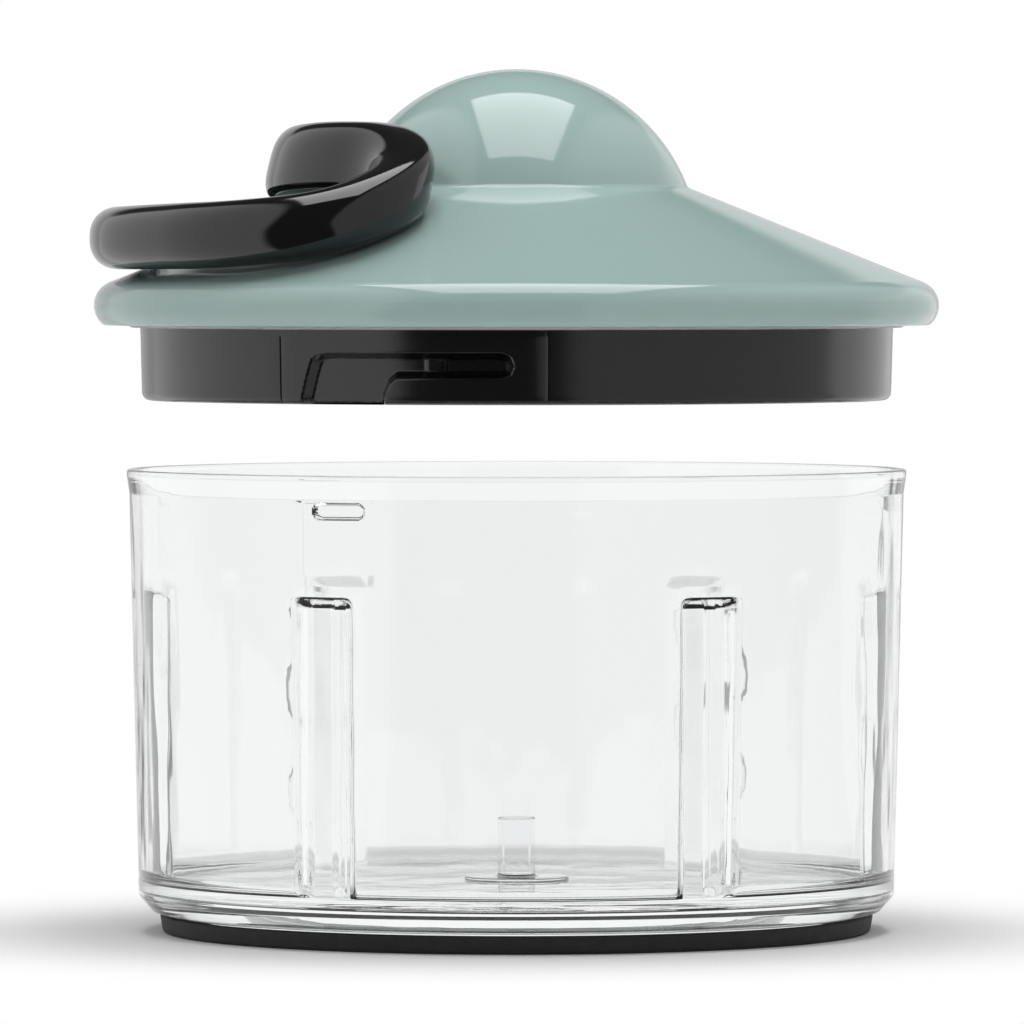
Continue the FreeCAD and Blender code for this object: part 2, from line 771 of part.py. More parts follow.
# Cord parts: bushing in the dome's wall, the cord, its knot and the plug that hides it
def make_cord():
    bore = s.cord_radius + s.cord_play
    wall_inner = housing_outer + s.cord_play * 2.0
    sleeve_length = bushing_seat - wall_inner
    sleeve = rod("bushing_sleeve", s.bushing_radius, sleeve_length, -wall_inner, 0.0, cord_z, "-X")
    thick = s.bushing_flange
    flange = rod("bushing_flange", s.bushing_flange_radius, thick, -bushing_seat, 0.0, cord_z, "-X")
    hole = rod("bushing_hole", bore, s.dome_radius, -wall_inner + s.cord_play, 0.0, cord_z, "-X")
    piece("cord_bushing", boolean("Cut", "bushing_cut", joined("bushing_solid", [sleeve, flange]), hole))
    knot_face = handle_inner - s.cord_radius
    cord_length = knot_face - wall_inner
    piece("pull_cord", rod("cord_stretch", s.cord_radius, cord_length, -wall_inner, 0.0, cord_z, "-X"))
    make_cord_lead(wall_inner)
    knot = doc.addObject("Part::Sphere", "knot_ball")
    bind(knot, Radius=s.knot_radius)
    knot.setExpression("Placement.Base.x", (-knot_face - s.knot_radius * 0.9).text)
    knot.setExpression("Placement.Base.z", cord_z.text)
    flat = rod("knot_flat", s.knot_radius, s.knot_radius * 3.0, -knot_face, 0.0, cord_z, "-X")
    piece("cord_knot", boolean("Common", "knot_cut", knot, flat))


def make_cord_lead(wall_inner):
    """Cord from the winding's edge to the bushing, on the line that touches both."""
    path_radius = s.winding_radius + s.cord_radius + s.cord_play / 2.0
    start = wall_inner - s.cord_radius
    length = root(start * start - path_radius * path_radius)
    lead = doc.addObject("Part::Cylinder", "cord_lead_rod")
    bind(lead, Radius=s.cord_radius, Height=length)
    turn = math.degrees(math.asin(path_radius.value / start.value))
    level = FreeCAD.Rotation(FreeCAD.Vector(0, 1, 0), 90)
    lead.Placement.Rotation = FreeCAD.Rotation(FreeCAD.Vector(0, 0, 1), turn).multiply(level)
    lead.setExpression("Placement.Base.x", (-start).text)
    lead.setExpression("Placement.Base.z", cord_z.text)
    piece("cord_lead", lead)


# Handle: closed loop that lies on the cone and wraps the dome, swept in two mirrored halves
def handle_route():
    """Corners of half the loop: its low limb lies over the cone, its high one passes the dome at the cord."""
    reach, width, inner = handle_reach.value, handle_width.value, handle_inner.value
    seat = s.handle_radius.value * math.hypot(1.0, cone_slope.value)

    def over_cone(x, y, gap):
        """Height at which the limb clears the cone by the gap."""
        return shoulder_height.value + cone_slope.value * (shoulder.value - math.hypot(x, y)) + seat + gap

    low = over_cone(reach, 0.0, s.handle_low.value)
    high = (cord_z + s.handle_high).value
    rise = high - low
    gap = s.handle_gap.value
    shape = [
        (reach, 0.0, low),
        (reach, 0.28 * width, low),
        (0.92 * reach, 0.54 * width, low),
        (0.72 * reach, 0.91 * width, low + 0.01 * rise),
        (0.45 * reach, width, over_cone(0.45 * reach, width, gap)),
        (0.27 * reach, 0.81 * width, over_cone(0.27 * reach, 0.81 * width, gap)),
        (0.57 * inner, 0.78 * inner, high),
        (0.87 * inner, 0.51 * inner, high + 0.03 * rise),
        (inner, 0.23 * inner, high),
        (inner, 0.0, high),
    ]
    return [FreeCAD.Vector(-x, -y, z) for x, y, z in shape]


def rounded_route(points):
    """Runs joined by arcs that take half of the shorter run beside each corner."""
    edges = []
    here = points[0]
    for before, corner, after in zip(points, points[1:], points[2:]):
        reach = 0.5 * min((corner - before).Length, (after - corner).Length)
        if before == points[0]:
            reach = min(reach, 0.98 * (corner - before).Length)
        back = (before - corner).normalize()
        ahead = (after - corner).normalize()
        start = corner + back * reach
        end = corner + ahead * reach
        half_turn = (math.pi - back.getAngle(ahead)) / 2.0
        radius = reach / math.tan(half_turn)
        bisector = (back + ahead).normalize()
        centre_distance = radius / math.cos(half_turn)
        middle = corner + bisector * (centre_distance - radius)
        if (start - here).Length > 1e-6:
            edges.append(Part.LineSegment(here, start).toShape())
        edges.append(Part.Arc(start, middle, end).toShape())
        here = end
    if (points[-1] - here).Length > 1e-6:
        edges.append(Part.LineSegment(here, points[-1]).toShape())
    return Part.Wire(edges)


def make_handle():
    points = handle_route()
    radius = s.handle_radius.value
    circle = Part.Wire(Part.Circle(points[0], FreeCAD.Vector(0, 1, 0), radius).toShape())
    near = rounded_route(points).makePipeShell([circle], True, False)
    far = near.mirror(FreeCAD.Vector(0, 0, 0), FreeCAD.Vector(0, 1, 0))
    loop = doc.addObject("Part::Feature", "handle_loop")
    loop.Shape = near.fuse(far).removeSplitter()
    inner_face = handle_inner - s.handle_radius
    cord_bore = s.cord_radius + s.cord_play
    bore_start = s.cord_play - inner_face
    bore = rod("handle_bore", cord_bore, s.handle_radius * 2.0, bore_start, 0.0, cord_z, "-X")
    seat = handle_inner - s.cord_radius
    pocket_depth = s.handle_radius * 2.0
    pocket = rod("knot_pocket", s.knot_radius + s.cord_play, pocket_depth, -seat, 0.0, cord_z, "-X")
    piece("handle", boolean("Cut", "handle_cut", loop, joined("handle_tools", [bore, pocket])))
    plug_start = handle_inner + s.handle_radius - s.plug_thickness * 1.6
    plug_radius = s.knot_radius + s.cord_play
    piece("handle_plug", rod("plug_disc", plug_radius, s.plug_thickness, -plug_start, 0.0, cord_z, "-X"))


make_bowl()
make_foot_ring()
make_lid_seal()
make_lid_cover()
make_lid_base()
make_screw_set("cover_screws", cover_screw_places())
make_screw_set("housing_screws", housing_screw_places())
make_spool_housing()
make_spool_axle()
make_spool()
make_recoil_spring()
make_drive()
make_cord()
make_handle()
doc.recompute()

for obj in doc.Objects:
    if "Invalid" in obj.State or "Error" in obj.State:
        raise RuntimeError("%s did not rebuild" % obj.Name)
os.makedirs("parts", exist_ok=True)
for node, obj in PIECES.items():
    if obj.Shape.isNull() or not obj.Shape.isValid():
        raise RuntimeError("%s has no valid shape" % node)
    obj.Shape.exportStep("parts/%s.step" % node)
    print("%s: %d solid(s), %.1f mm3" % (node, len(obj.Shape.Solids), obj.Shape.Volume))
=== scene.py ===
"""Looks of a pull-cord food chopper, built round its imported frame.

Metres in Blender, millimetres inside the shape functions. +Z is up, the front faces -Y and the handle
points to -X, as in the frame. An angle called "turn" runs from +X towards +Y; one called "bearing" runs
from the front (-Y) towards +X.
"""

import math

import bpy
import numpy as np
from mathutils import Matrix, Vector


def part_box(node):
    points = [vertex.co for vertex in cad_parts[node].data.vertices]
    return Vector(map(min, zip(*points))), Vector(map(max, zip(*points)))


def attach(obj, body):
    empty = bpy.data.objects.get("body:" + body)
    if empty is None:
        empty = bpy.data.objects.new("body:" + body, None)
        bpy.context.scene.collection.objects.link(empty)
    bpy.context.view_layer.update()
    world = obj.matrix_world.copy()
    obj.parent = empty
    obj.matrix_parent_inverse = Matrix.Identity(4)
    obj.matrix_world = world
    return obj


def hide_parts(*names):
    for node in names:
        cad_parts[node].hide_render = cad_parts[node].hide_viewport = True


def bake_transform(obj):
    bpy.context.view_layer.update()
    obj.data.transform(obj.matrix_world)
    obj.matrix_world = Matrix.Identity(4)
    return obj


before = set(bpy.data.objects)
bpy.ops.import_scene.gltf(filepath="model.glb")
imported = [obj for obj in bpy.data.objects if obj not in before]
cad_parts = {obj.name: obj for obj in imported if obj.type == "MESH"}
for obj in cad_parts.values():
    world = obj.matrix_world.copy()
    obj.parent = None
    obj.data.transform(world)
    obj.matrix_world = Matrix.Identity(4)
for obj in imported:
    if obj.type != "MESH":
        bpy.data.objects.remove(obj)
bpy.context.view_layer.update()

bl_info = {
    "name": "Pull-cord food chopper",
    "version": (1, 0, 0),
    "blender": (4, 5, 0),
    "location": "3D View > Sidebar > Chopper",
    "description": "Builds the chopper's bowl, lid, handle, finishes and studio round its frame",
    "category": "Object",
}

MM = 0.001
FULL_TURN = 2.0 * math.pi
FRONT = -0.5 * math.pi
WHITE = (1.0, 1.0, 1.0, 1.0)

# Grids: the angle above which an edge is sharp, and when two points (mm) or turns (radians) are one
SHARP_EDGE = math.radians(38.0)
SAME_POINT = 1e-7
SAME_TURN = 2e-4

# Millimetres: height of the cord, and distance of its bushing's inner end from the lid's axis
CORD_HEIGHT = 122.5
BUSHING_INSIDE = 19.45

# Picture width and focal length in pixels, sensor width in mm, camera in metres, its dip in degrees
PICTURE = 1024
FOCAL_PIXELS = 10000.0
SENSOR = 36.0
CAMERA_AT = (-0.00072, -1.6, 0.1074)
CAMERA_DIP = 1.444

# Heights in millimetres, taken from the frame
COVER_LOW, COVER_HIGH = (corner.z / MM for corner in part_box("lid_cover"))
BOWL_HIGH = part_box("bowl")[1].z / MM
BASE_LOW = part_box("lid_base")[0].z / MM


def srgb(red, green, blue):
    """Linear colour of a screen colour given in 0 to 255: ((c + 0.055) / 1.055) ** 2.4 above its foot."""
    c = np.array([red, green, blue]) / 255.0
    return tuple(np.where(c > 0.04045, ((c + 0.055) / 1.055) ** 2.4, c / 12.92).tolist())


def length(name, words, millimetres):
    return bpy.props.FloatProperty(
        name=name, description=words, default=millimetres * MM, unit="LENGTH", precision=5
    )


def angle(name, words, degrees):
    return bpy.props.FloatProperty(
        name=name, description=words, default=math.radians(degrees), subtype="ANGLE"
    )


def colour(name, words, red, green, blue):
    return bpy.props.FloatVectorProperty(
        name=name, description=words, default=srgb(red, green, blue), subtype="COLOR", min=0.0, max=1.0
    )


class ChopperBowlSizes(bpy.types.PropertyGroup):
    height: length("Height", "Height of the bowl's rim above the worktop", BOWL_HIGH)
    radius: length("Radius", "Outer radius just under the rim's lip", 62.0)
    low_radius: length("Low radius", "Outer radius at the foot of the wall", 60.5)
    wall: length("Wall", "Thickness of the clear wall", 1.5)
    floor: length("Floor", "Height of the inside floor", 8.3)
    rib_height: length("Rib height", "Height of the ribs' tops above the worktop", 54.8)
    rib_width: length("Rib width", "Width of a rib", 9.4)
    rib_face: length("Rib face", "Radius of a rib's inner face", 55.58)
    rib_bearing: angle("Rib bearing", "Bearing of the first rib; one stands every sixth of a turn", 30.0)
    lug_height: length("Lug height", "Height of the locking lugs' middle", 68.5)
    lug_bearing: angle("Lug bearing", "Bearing of the first lug; one stands every third of a turn", -27.0)


class ChopperLidSizes(bpy.types.PropertyGroup):
    seat: length("Seat", "Height of the plate's underside, which meets the bowl's rim", COVER_LOW)
    crown: length("Crown", "Height of the dome's top", COVER_HIGH)
    dome: length("Dome radius", "Outer radius of the dome", 29.3)
    crease: length("Crease", "Radius at which the cone meets the dome", 27.4)
    shoulder: length("Shoulder", "Radius at which the cone meets the rolled rim", 65.18)
    skirt: length("Skirt", "Outer radius of the black skirt", 60.2)
    skirt_foot: length("Skirt foot", "Height of the skirt's lower edge", BASE_LOW)
    groove: length("Groove", "Depth of the locking groove", 1.8)
    groove_bearing: angle("Groove bearing", "Bearing of the first locking groove's middle", -16.05)


class ChopperHandleSizes(bpy.types.PropertyGroup):
    thickness: length("Thickness", "Diameter of the handle's limbs", 10.0)
    reach: length("Reach", "Distance from the lid's axis to the outer limb's middle", 63.18)
    inner: length("Inner reach", "Distance from the lid's axis to the inner limb's middle", 34.6)
    width: length("Half width", "Greatest distance of a limb's middle from the handle's own plane", 50.0)
    low: length("Low", "Height of the outer limb's middle", 110.9)
    high: length("High", "Height of the inner limb's middle", 124.0)
    cord: length("Cord", "Diameter of the pull cord", 1.5)
    cord_height: length("Cord height", "Height at which the cord leaves the dome", CORD_HEIGHT)


class ChopperColours(bpy.types.PropertyGroup):
    sage: colour("Sage", "Lid cover", 163, 188, 184)
    black: colour("Black", "Handle and skirt", 17, 16, 17)
    rubber: colour("Rubber", "Foot ring", 44, 44, 45)
    clear: colour("Clear", "Tint of the clear bowl", 249, 250, 250)
    nylon: colour("Nylon", "Spool, housing and bearings", 226, 226, 220)
    silicone: colour("Silicone", "Seals", 196, 199, 198)
    steel: colour("Steel", "Screws, axle and spring", 176, 177, 179)
    cord: colour("Cord", "Braided cord", 40, 40, 42)


# Shapes


class Skin:
    """Points and faces, gathered grid by grid, that become one mesh."""

    def __init__(self):
        self.points = []
        self.faces = []
        self.count = 0

    def add(self, grid, closed_rows=False, closed_columns=True, turned_in=False):
        """Adds a grid of points (rows, columns, 3). Each cell is a face whose normal is column step x row
        step, or its opposite when turned_in. A first or last row whose points coincide closes in one pole."""
        rows, columns = grid.shape[:2]
        index = self.count + np.arange(rows * columns).reshape(rows, columns)
        for row in (0, rows - 1):
            if np.ptp(grid[row], axis=0).max() < SAME_POINT:
                index[row] = index[row, 0]
        low = index if closed_rows else index[:-1]
        high = np.roll(index, -1, 0) if closed_rows else index[1:]
        if closed_columns:
            cells = [low, np.roll(low, -1, 1), np.roll(high, -1, 1), high]
        else:
            cells = [low[:, :-1], low[:, 1:], high[:, 1:], high[:, :-1]]
        cells = np.stack(cells, -1).reshape(-1, 4)
        self.faces.append(cells[:, ::-1] if turned_in else cells)
        self.points.append(grid.reshape(-1, 3))
        self.count += rows * columns
        return self

    def mesh(self, name):
        """Mesh of all grids, in metres, with the cells at poles as triangles and no spare points."""
        points, cells = np.concatenate(self.points), np.concatenate(self.faces)
        twin = cells == np.roll(cells, -1, 1)
        quads = cells[~twin.any(1)]
        thin = twin.sum(1) == 1
        keep = np.argsort(twin[thin], axis=1, kind="stable")[:, :3]
        corners = np.take_along_axis(cells[thin], keep, 1)
        used, compact = np.unique(np.concatenate([quads.ravel(), corners.ravel()]), return_inverse=True)
        split = quads.size
        faces = compact[:split].reshape(-1, 4).tolist() + compact[split:].reshape(-1, 3).tolist()
        made = bpy.data.meshes.new(name)
        made.from_pydata((points[used] * MM).tolist(), [], faces)
        made.polygons.foreach_set("use_smooth", np.ones(len(faces), bool))
        made.set_sharp_from_angle(angle=SHARP_EDGE)
        made.update()
        return made


def rounded(corners, steps=6, hold=0.15, closed=False):
    """Outline through corners (x, y, fillet).

    With h half the angle at a corner, its arc leaves the runs fillet / tan(h) from the corner and its centre
    is fillet / sin(h) along the bisector. Where a run is long enough, a point is kept on it, hold further out
    than the arc, so that flats shade flat."""
    places = np.array([c[:2] for c in corners], float)
    line = []
    last = len(corners) - 1
    for i, corner in enumerate(corners):
        here = places[i]
        fillet = corner[2] if len(corner) > 2 else 0.0
        if fillet <= 0.0 or (not closed and i in (0, last)):
            line.append(here[None])
            continue
        back, ahead = places[i - 1] - here, places[(i + 1) % len(corners)] - here
        runs = np.linalg.norm(back), np.linalg.norm(ahead)
        back, ahead = back / runs[0], ahead / runs[1]
        half = 0.5 * math.acos(np.clip(back @ ahead, -1.0, 1.0))
        reach = min(fillet / math.tan(half), 0.46 * min(runs))
        radius = reach * math.tan(half)
        centre = here + (back + ahead) / np.linalg.norm(back + ahead) * radius / math.sin(half)
        swing = math.pi - 2.0 * half
        t = np.linspace(0.0, 1.0, steps + 1)[:, None]
        first, final = here + back * reach - centre, here + ahead * reach - centre
        bend = centre + (np.sin((1.0 - t) * swing) * first + np.sin(t * swing) * final) / math.sin(swing)
        if runs[0] > 2.0 * (reach + hold):
            line.append(bend[:1] + back * hold)
        line.append(bend)
        if runs[1] > 2.0 * (reach + hold):
            line.append(bend[-1:] + ahead * hold)
    return np.concatenate(line)


def arc(centre, radius, start, end, steps):
    """Points of an arc about a centre, from one angle to another, in degrees."""
    t = np.radians(np.linspace(start, end, steps + 1))
    return np.stack([centre[0] + radius * np.cos(t), centre[1] + radius * np.sin(t)], -1)


def even_turns(count):
    return np.arange(count) * FULL_TURN / count


def spin(profile, turns):
    """Surface of revolution: a profile point (r, z) at a turn t lies at (r cos t, r sin t, z).
    r may be one number a row, or one for each row and turn."""
    r, z = profile
    r = r[:, None] * np.ones(len(turns)) if r.ndim == 1 else r
    z = z[:, None] * np.ones(len(turns))
    return np.stack([r * np.cos(turns), r * np.sin(turns), z], -1)


def lathe(line, count):
    """Grid of an outline (r, z) turned about Z in even steps."""
    return spin((line[:, 0], line[:, 1]), even_turns(count))


def shoulder(inside, rounding):
    """Height, 0 to 1, of a raised form at a distance inside its edge: a quarter circle, then level."""
    t = np.clip(inside / rounding, 0.0, 1.0)
    return np.sqrt(1.0 - (1.0 - t) ** 2)


def swell(inside, foot, crown):
    """Height, 0 to 1, of a moulded form that rises as 3t^2 - 2t^3, from foot outside its edge to crown
    inside it."""
    t = np.clip((inside + foot) / (foot + crown), 0.0, 1.0)
    return t * t * (3.0 - 2.0 * t)


def nearest(turns, first, count):
    """Angle from each turn to the nearest of count evenly spaced places."""
    step = FULL_TURN / count
    return (turns - first + 0.5 * step) % step - 0.5 * step


def gathered(base, first, count, offsets):
    """Turns of a grid: those of the base and the offsets round each of count places, sorted, none twice."""
    extra = (first + np.arange(count)[:, None] * FULL_TURN / count + offsets).ravel()
    turns = np.sort(np.concatenate([base, extra]) % FULL_TURN)
    return turns[np.diff(turns, prepend=turns[-1] - FULL_TURN) > SAME_TURN]


def inside_outline(x, y, corners):
    """Distance inside a closed outline: positive inside, negative outside, from the nearest edge."""
    best = np.full(np.broadcast(x, y).shape, np.inf)
    within = np.zeros(best.shape, bool)
    for (ax, ay), (bx, by) in zip(corners, np.roll(corners, -1, 0)):
        ex, ey = bx - ax, by - ay
        t = np.clip(((x - ax) * ex + (y - ay) * ey) / (ex * ex + ey * ey), 0.0, 1.0)
        best = np.minimum(best, np.hypot(x - ax - t * ex, y - ay - t * ey))
        if ay != by:
            within ^= ((ay > y) != (by > y)) & (x < (y - ay) * ex / ey + ax)
    return np.where(within, best, -best)


def smooth_loop(points, samples, blur):
    """Closed quadratic B-spline through the middles of its control runs, softened by a Gaussian.

    Between the middles of two runs it is (1-t)^2 m0 + 2 t (1-t) p + t^2 m1. The Gaussian multiplies each
    harmonic k of the loop by exp(-(k blur)^2 / 2)."""
    middles = 0.5 * (points + np.roll(points, -1, 0))
    t = np.linspace(0.0, 1.0, samples, endpoint=False)[None, :, None]
    before = np.roll(middles, 1, 0)[:, None]
    line = (1 - t) ** 2 * before + 2 * t * (1 - t) * points[:, None] + t**2 * middles[:, None]
    line = line.reshape(-1, 3)
    gaps = np.linalg.norm(np.roll(line, -1, 0) - line, axis=1)
    along = np.concatenate([[0.0], np.cumsum(gaps)])
    even = np.linspace(0.0, along[-1], len(line), endpoint=False)
    line = np.stack([np.interp(even, along, np.append(line[:, i], line[0, i])) for i in range(3)], -1)
    waves = np.fft.rfft(line, axis=0)
    k = np.arange(len(waves))[:, None]
    return np.fft.irfft(waves * np.exp(-0.5 * (k * blur) ** 2), len(line), axis=0)


def tube(line, radius, count):
    """Tube round a closed line. At each point the circle lies in the plane of side = Z x tangent and
    up = tangent x side; radius holds one number for each point of the circle at each point of the line."""
    ahead = np.roll(line, -1, 0) - np.roll(line, 1, 0)
    ahead /= np.linalg.norm(ahead, axis=1)[:, None]
    side = np.cross([0.0, 0.0, 1.0], ahead)
    side /= np.linalg.norm(side, axis=1)[:, None]
    up = np.cross(ahead, side)
    t = even_turns(count)[None, :, None]
    return line[:, None] + radius[..., None] * (np.cos(t) * side[:, None] + np.sin(t) * up[:, None])


def along_cord(grid, height):
    """Lays a form that was turned about Z on its side, so that its axis points to -X at a height."""
    return np.stack([-grid[..., 2], grid[..., 1], grid[..., 0] + height], -1)


def place(name, skin, slot, body, stands_for, finish_name=None):
    """Makes the object of a skin, with the finish of its record slot or the one named, on the body it rides,
    and hides the nodes it stands for."""
    made = bpy.data.objects.new(name, skin.mesh(name))
    bpy.context.scene.collection.objects.link(made)
    made.data.materials.append(FINISHES[finish_name or slot])
    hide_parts(*stands_for)
    if body:
        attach(made, body)
    return made


# Finishes


class Wire:
    """A socket of one material; Python's +, - and * on it add Math nodes."""

    def __init__(self, paint, socket):
        self.paint = paint
        self.socket = socket

    def maths(self, operation, first, second):
        return self.paint.node("Math", {0: first, 1: second}, operation=operation)

    def __add__(self, other):
        return self.maths("ADD", self, other)

    def __sub__(self, other):
        return self.maths("SUBTRACT", self, other)

    def __rsub__(self, other):
        return self.maths("SUBTRACT", other, self)

    def __mul__(self, other):
        return self.maths("MULTIPLY", self, other)

    __radd__ = __add__


class Paint:
    """A node tree, and one way to add any node to it."""

    def __init__(self, tree):
        self.tree = tree
        tree.nodes.clear()

    def node(self, kind, inputs=None, output=0, **settings):
        """Adds a node: its settings, then its sockets' values or links."""
        made = self.tree.nodes.new("ShaderNode" + kind)
        for name, value in settings.items():
            setattr(made, name, value)
        for name, value in (inputs or {}).items():
            self.feed(made.inputs[name], value)
        return Wire(self, made.outputs[output])

    def feed(self, socket, value):
        if isinstance(value, Wire):
            self.tree.links.new(value.socket, socket)
        else:
            socket.default_value = value

    def axes(self, vector):
        """The X, Y and Z of a vector."""
        split = self.node("SeparateXYZ", {0: vector}).socket.node
        return [Wire(self, part) for part in split.outputs]

    def rays(self):
        """Factors for what the camera sees, what is seen through clear plastic, and what is only mirrored."""
        path = self.node("LightPath").socket.node.outputs
        kinds = "Camera", "Transmission", "Glossy"
        seen, through, glossy = (Wire(self, path[f"Is {kind} Ray"]) for kind in kinds)
        return seen, through, glossy * (1.0 - through)

    def smooth_step(self, value, low, high, start=0.0, end=1.0):
        """start below low, end above high, and 3t^2 - 2t^3 of the way between."""
        inputs = {0: value, 1: low, 2: high, 3: start, 4: end}
        return self.node("MapRange", inputs, interpolation_type="SMOOTHSTEP")

    def noise(self, scale, detail, stretch=(1.0, 1.0, 1.0)):
        """Noise on Object coordinates: scale is in cycles a metre, stretch multiplies it along each axis."""
        where = self.node("TexCoord", output="Object")
        if stretch != (1.0, 1.0, 1.0):
            where = self.node("Mapping", {0: where, 3: stretch})
        return self.node("TexNoise", {"Vector": where, "Scale": scale, "Detail": detail})

    def tint(self, base, factor, depth):
        """The base colour, multiplied by 1 - depth where the factor is 1."""
        dark = (*[c * (1.0 - depth) for c in base], 1.0)
        return self.node("Mix", {0: factor, 6: (*base, 1.0), 7: dark}, output=2, data_type="RGBA")

    def bump(self, height, strength, distance):
        return self.node("Bump", {"Height": height, "Strength": strength, "Distance": distance})


def finish(name, base, roughness, **constants):
    """A Principled material, the Paint that adds what changes over its surface, and its inputs."""
    made = bpy.data.materials.new(name)
    made.use_nodes = True
    paint = Paint(made.node_tree)
    shader = paint.tree.nodes.new("ShaderNodeBsdfPrincipled")
    out = paint.tree.nodes.new("ShaderNodeOutputMaterial")
    paint.tree.links.new(shader.outputs[0], out.inputs[0])
    shader.inputs["Base Color"].default_value = (*base, 1.0)
    shader.inputs["Roughness"].default_value = roughness
    for socket, value in constants.items():
        shader.inputs[socket.replace("_", " ")].default_value = value
    return made, paint, shader.inputs


def sage_finish(base):
    """Glossy moulded plastic: faint clouding, a trace of orange peel, a little wear in the gloss."""
    made, paint, inputs = finish("sage_plastic_gloss", base, 0.1, IOR=1.5)
    cloud, wear = paint.noise(28.0, detail=3.0), paint.noise(160.0, detail=4.0)
    peel = paint.noise(420.0, detail=1.0)
    paint.feed(inputs["Base Color"], paint.tint(base, cloud, depth=0.035))
    paint.feed(inputs["Roughness"], 0.05 + wear * 0.05)
    paint.feed(inputs["Normal"], paint.bump(peel, strength=0.04, distance=0.00005))
    return made


def black_finish(name, base, roughness, grain):
    """Black moulded plastic: gloss that varies a little, and a fine grain in its surface."""
    made, paint, inputs = finish(name, base, roughness, IOR=1.58)
    cloud, wear = paint.noise(60.0, detail=3.0), paint.noise(240.0, detail=4.0)
    speck = paint.noise(900.0, detail=2.0)
    paint.feed(inputs["Base Color"], paint.tint(base, cloud, depth=0.3))
    paint.feed(inputs["Roughness"], roughness - 0.03 + wear * 0.07)
    paint.feed(inputs["Normal"], paint.bump(speck, strength=grain, distance=0.00006))
    return made


def rubber_finish(base):
    """Soft black rubber: matt, speckled, with a moulded grain."""
    made, paint, inputs = finish("black_rubber_matt", base, 0.72, IOR=1.45)
    speck, wear = paint.noise(380.0, detail=5.0), paint.noise(500.0, detail=3.0)
    grain = paint.noise(1400.0, detail=3.0)
    paint.feed(inputs["Base Color"], paint.tint(base, speck, depth=0.35))
    paint.feed(inputs["Roughness"], 0.62 + wear * 0.2)
    paint.feed(inputs["Normal"], paint.bump(grain, strength=0.3, distance=0.00012))
    return made


def clear_finish(base):
    """Clear moulded plastic: refracts, with slow waves in its wall and faint haze."""
    made, paint, inputs = finish("clear_plastic_bright", base, 0.02, IOR=1.46, Transmission_Weight=1.0)
    haze, waves = paint.noise(90.0, detail=3.0), paint.noise(70.0, detail=2.0, stretch=(1.0, 1.0, 0.35))
    paint.feed(inputs["Roughness"], 0.005 + haze * 0.03)
    paint.feed(inputs["Normal"], paint.bump(waves, strength=0.25, distance=0.0006))
    return made


def nylon_finish(base):
    """Natural nylon: cloudy white, satin."""
    glow = {"Subsurface_Weight": 0.12, "Subsurface_Scale": 0.002}
    made, paint, inputs = finish("white_nylon_satin", base, 0.42, **glow)
    cloud, grain = paint.noise(120.0, detail=4.0), paint.noise(1100.0, detail=2.0)
    paint.feed(inputs["Base Color"], paint.tint(base, cloud, depth=0.08))
    paint.feed(inputs["Normal"], paint.bump(grain, strength=0.15, distance=0.00008))
    return made


def silicone_finish(base):
    """Translucent silicone: pale grey, soft sheen."""
    made, paint, inputs = finish("silicone_soft", base, 0.45, Transmission_Weight=0.25, IOR=1.41)
    cloud, grain = paint.noise(300.0, detail=3.0), paint.noise(900.0, detail=2.0)
    paint.feed(inputs["Base Color"], paint.tint(base, cloud, depth=0.1))
    paint.feed(inputs["Normal"], paint.bump(grain, strength=0.12, distance=0.0001))
    return made


def steel_finish(base):
    """Bright steel: fine turned scratches."""
    made, paint, inputs = finish("steel_bright", base, 0.28, Metallic=1.0)
    scratches = paint.noise(700.0, detail=4.0, stretch=(1.0, 1.0, 9.0))
    paint.feed(inputs["Roughness"], 0.2 + scratches * 0.18)
    paint.feed(inputs["Normal"], paint.bump(scratches, strength=0.12, distance=0.00005))
    return made


def cord_finish(base):
    """Braided cord: two waves, sin(pitch x + strands a) and sin(pitch x - strands a), with a the angle round
    the cord, lift its strands where either is high, and painted shade darkens the base colour between them."""
    pitch, strands = 4200.0, 4.0
    made, paint, inputs = finish("cord_braid", base, 0.7, Sheen_Weight=0.15)
    x, y, z = paint.axes(paint.node("TexCoord", output="Object"))
    around = paint.node("Math", {0: y, 1: z - CORD_HEIGHT * MM}, operation="ARCTAN2")
    left = paint.node("Math", {0: x * pitch + around * strands}, operation="SINE")
    right = paint.node("Math", {0: x * pitch - around * strands}, operation="SINE")
    braid = paint.node("Math", {0: left, 1: right}, operation="MAXIMUM") * 0.5 + 0.5
    # Painted shade: the base colour is darkened between the strands, where the braid is low.
    paint.feed(inputs["Base Color"], paint.tint(base, 1.0 - braid, depth=0.55))
    paint.feed(inputs["Normal"], paint.bump(braid, strength=0.6, distance=0.0002))
    return made


FINISHES = {}


def make_finishes(colours):
    """One finish for each record slot, and black_satin, the duller black of the lid base."""
    FINISHES.update(
        clear_plastic=clear_finish(colours.clear),
        sage_plastic=sage_finish(colours.sage),
        black_gloss=black_finish("black_plastic_gloss", colours.black, roughness=0.08, grain=0.02),
        black_satin=black_finish("black_plastic_moulded", colours.black, roughness=0.16, grain=0.06),
        black_rubber=rubber_finish(colours.rubber),
        silicone=silicone_finish(colours.silicone),
        steel=steel_finish(colours.steel),
        white_nylon=nylon_finish(colours.nylon),
        cord=cord_finish(colours.cord),
    )


# Bowl


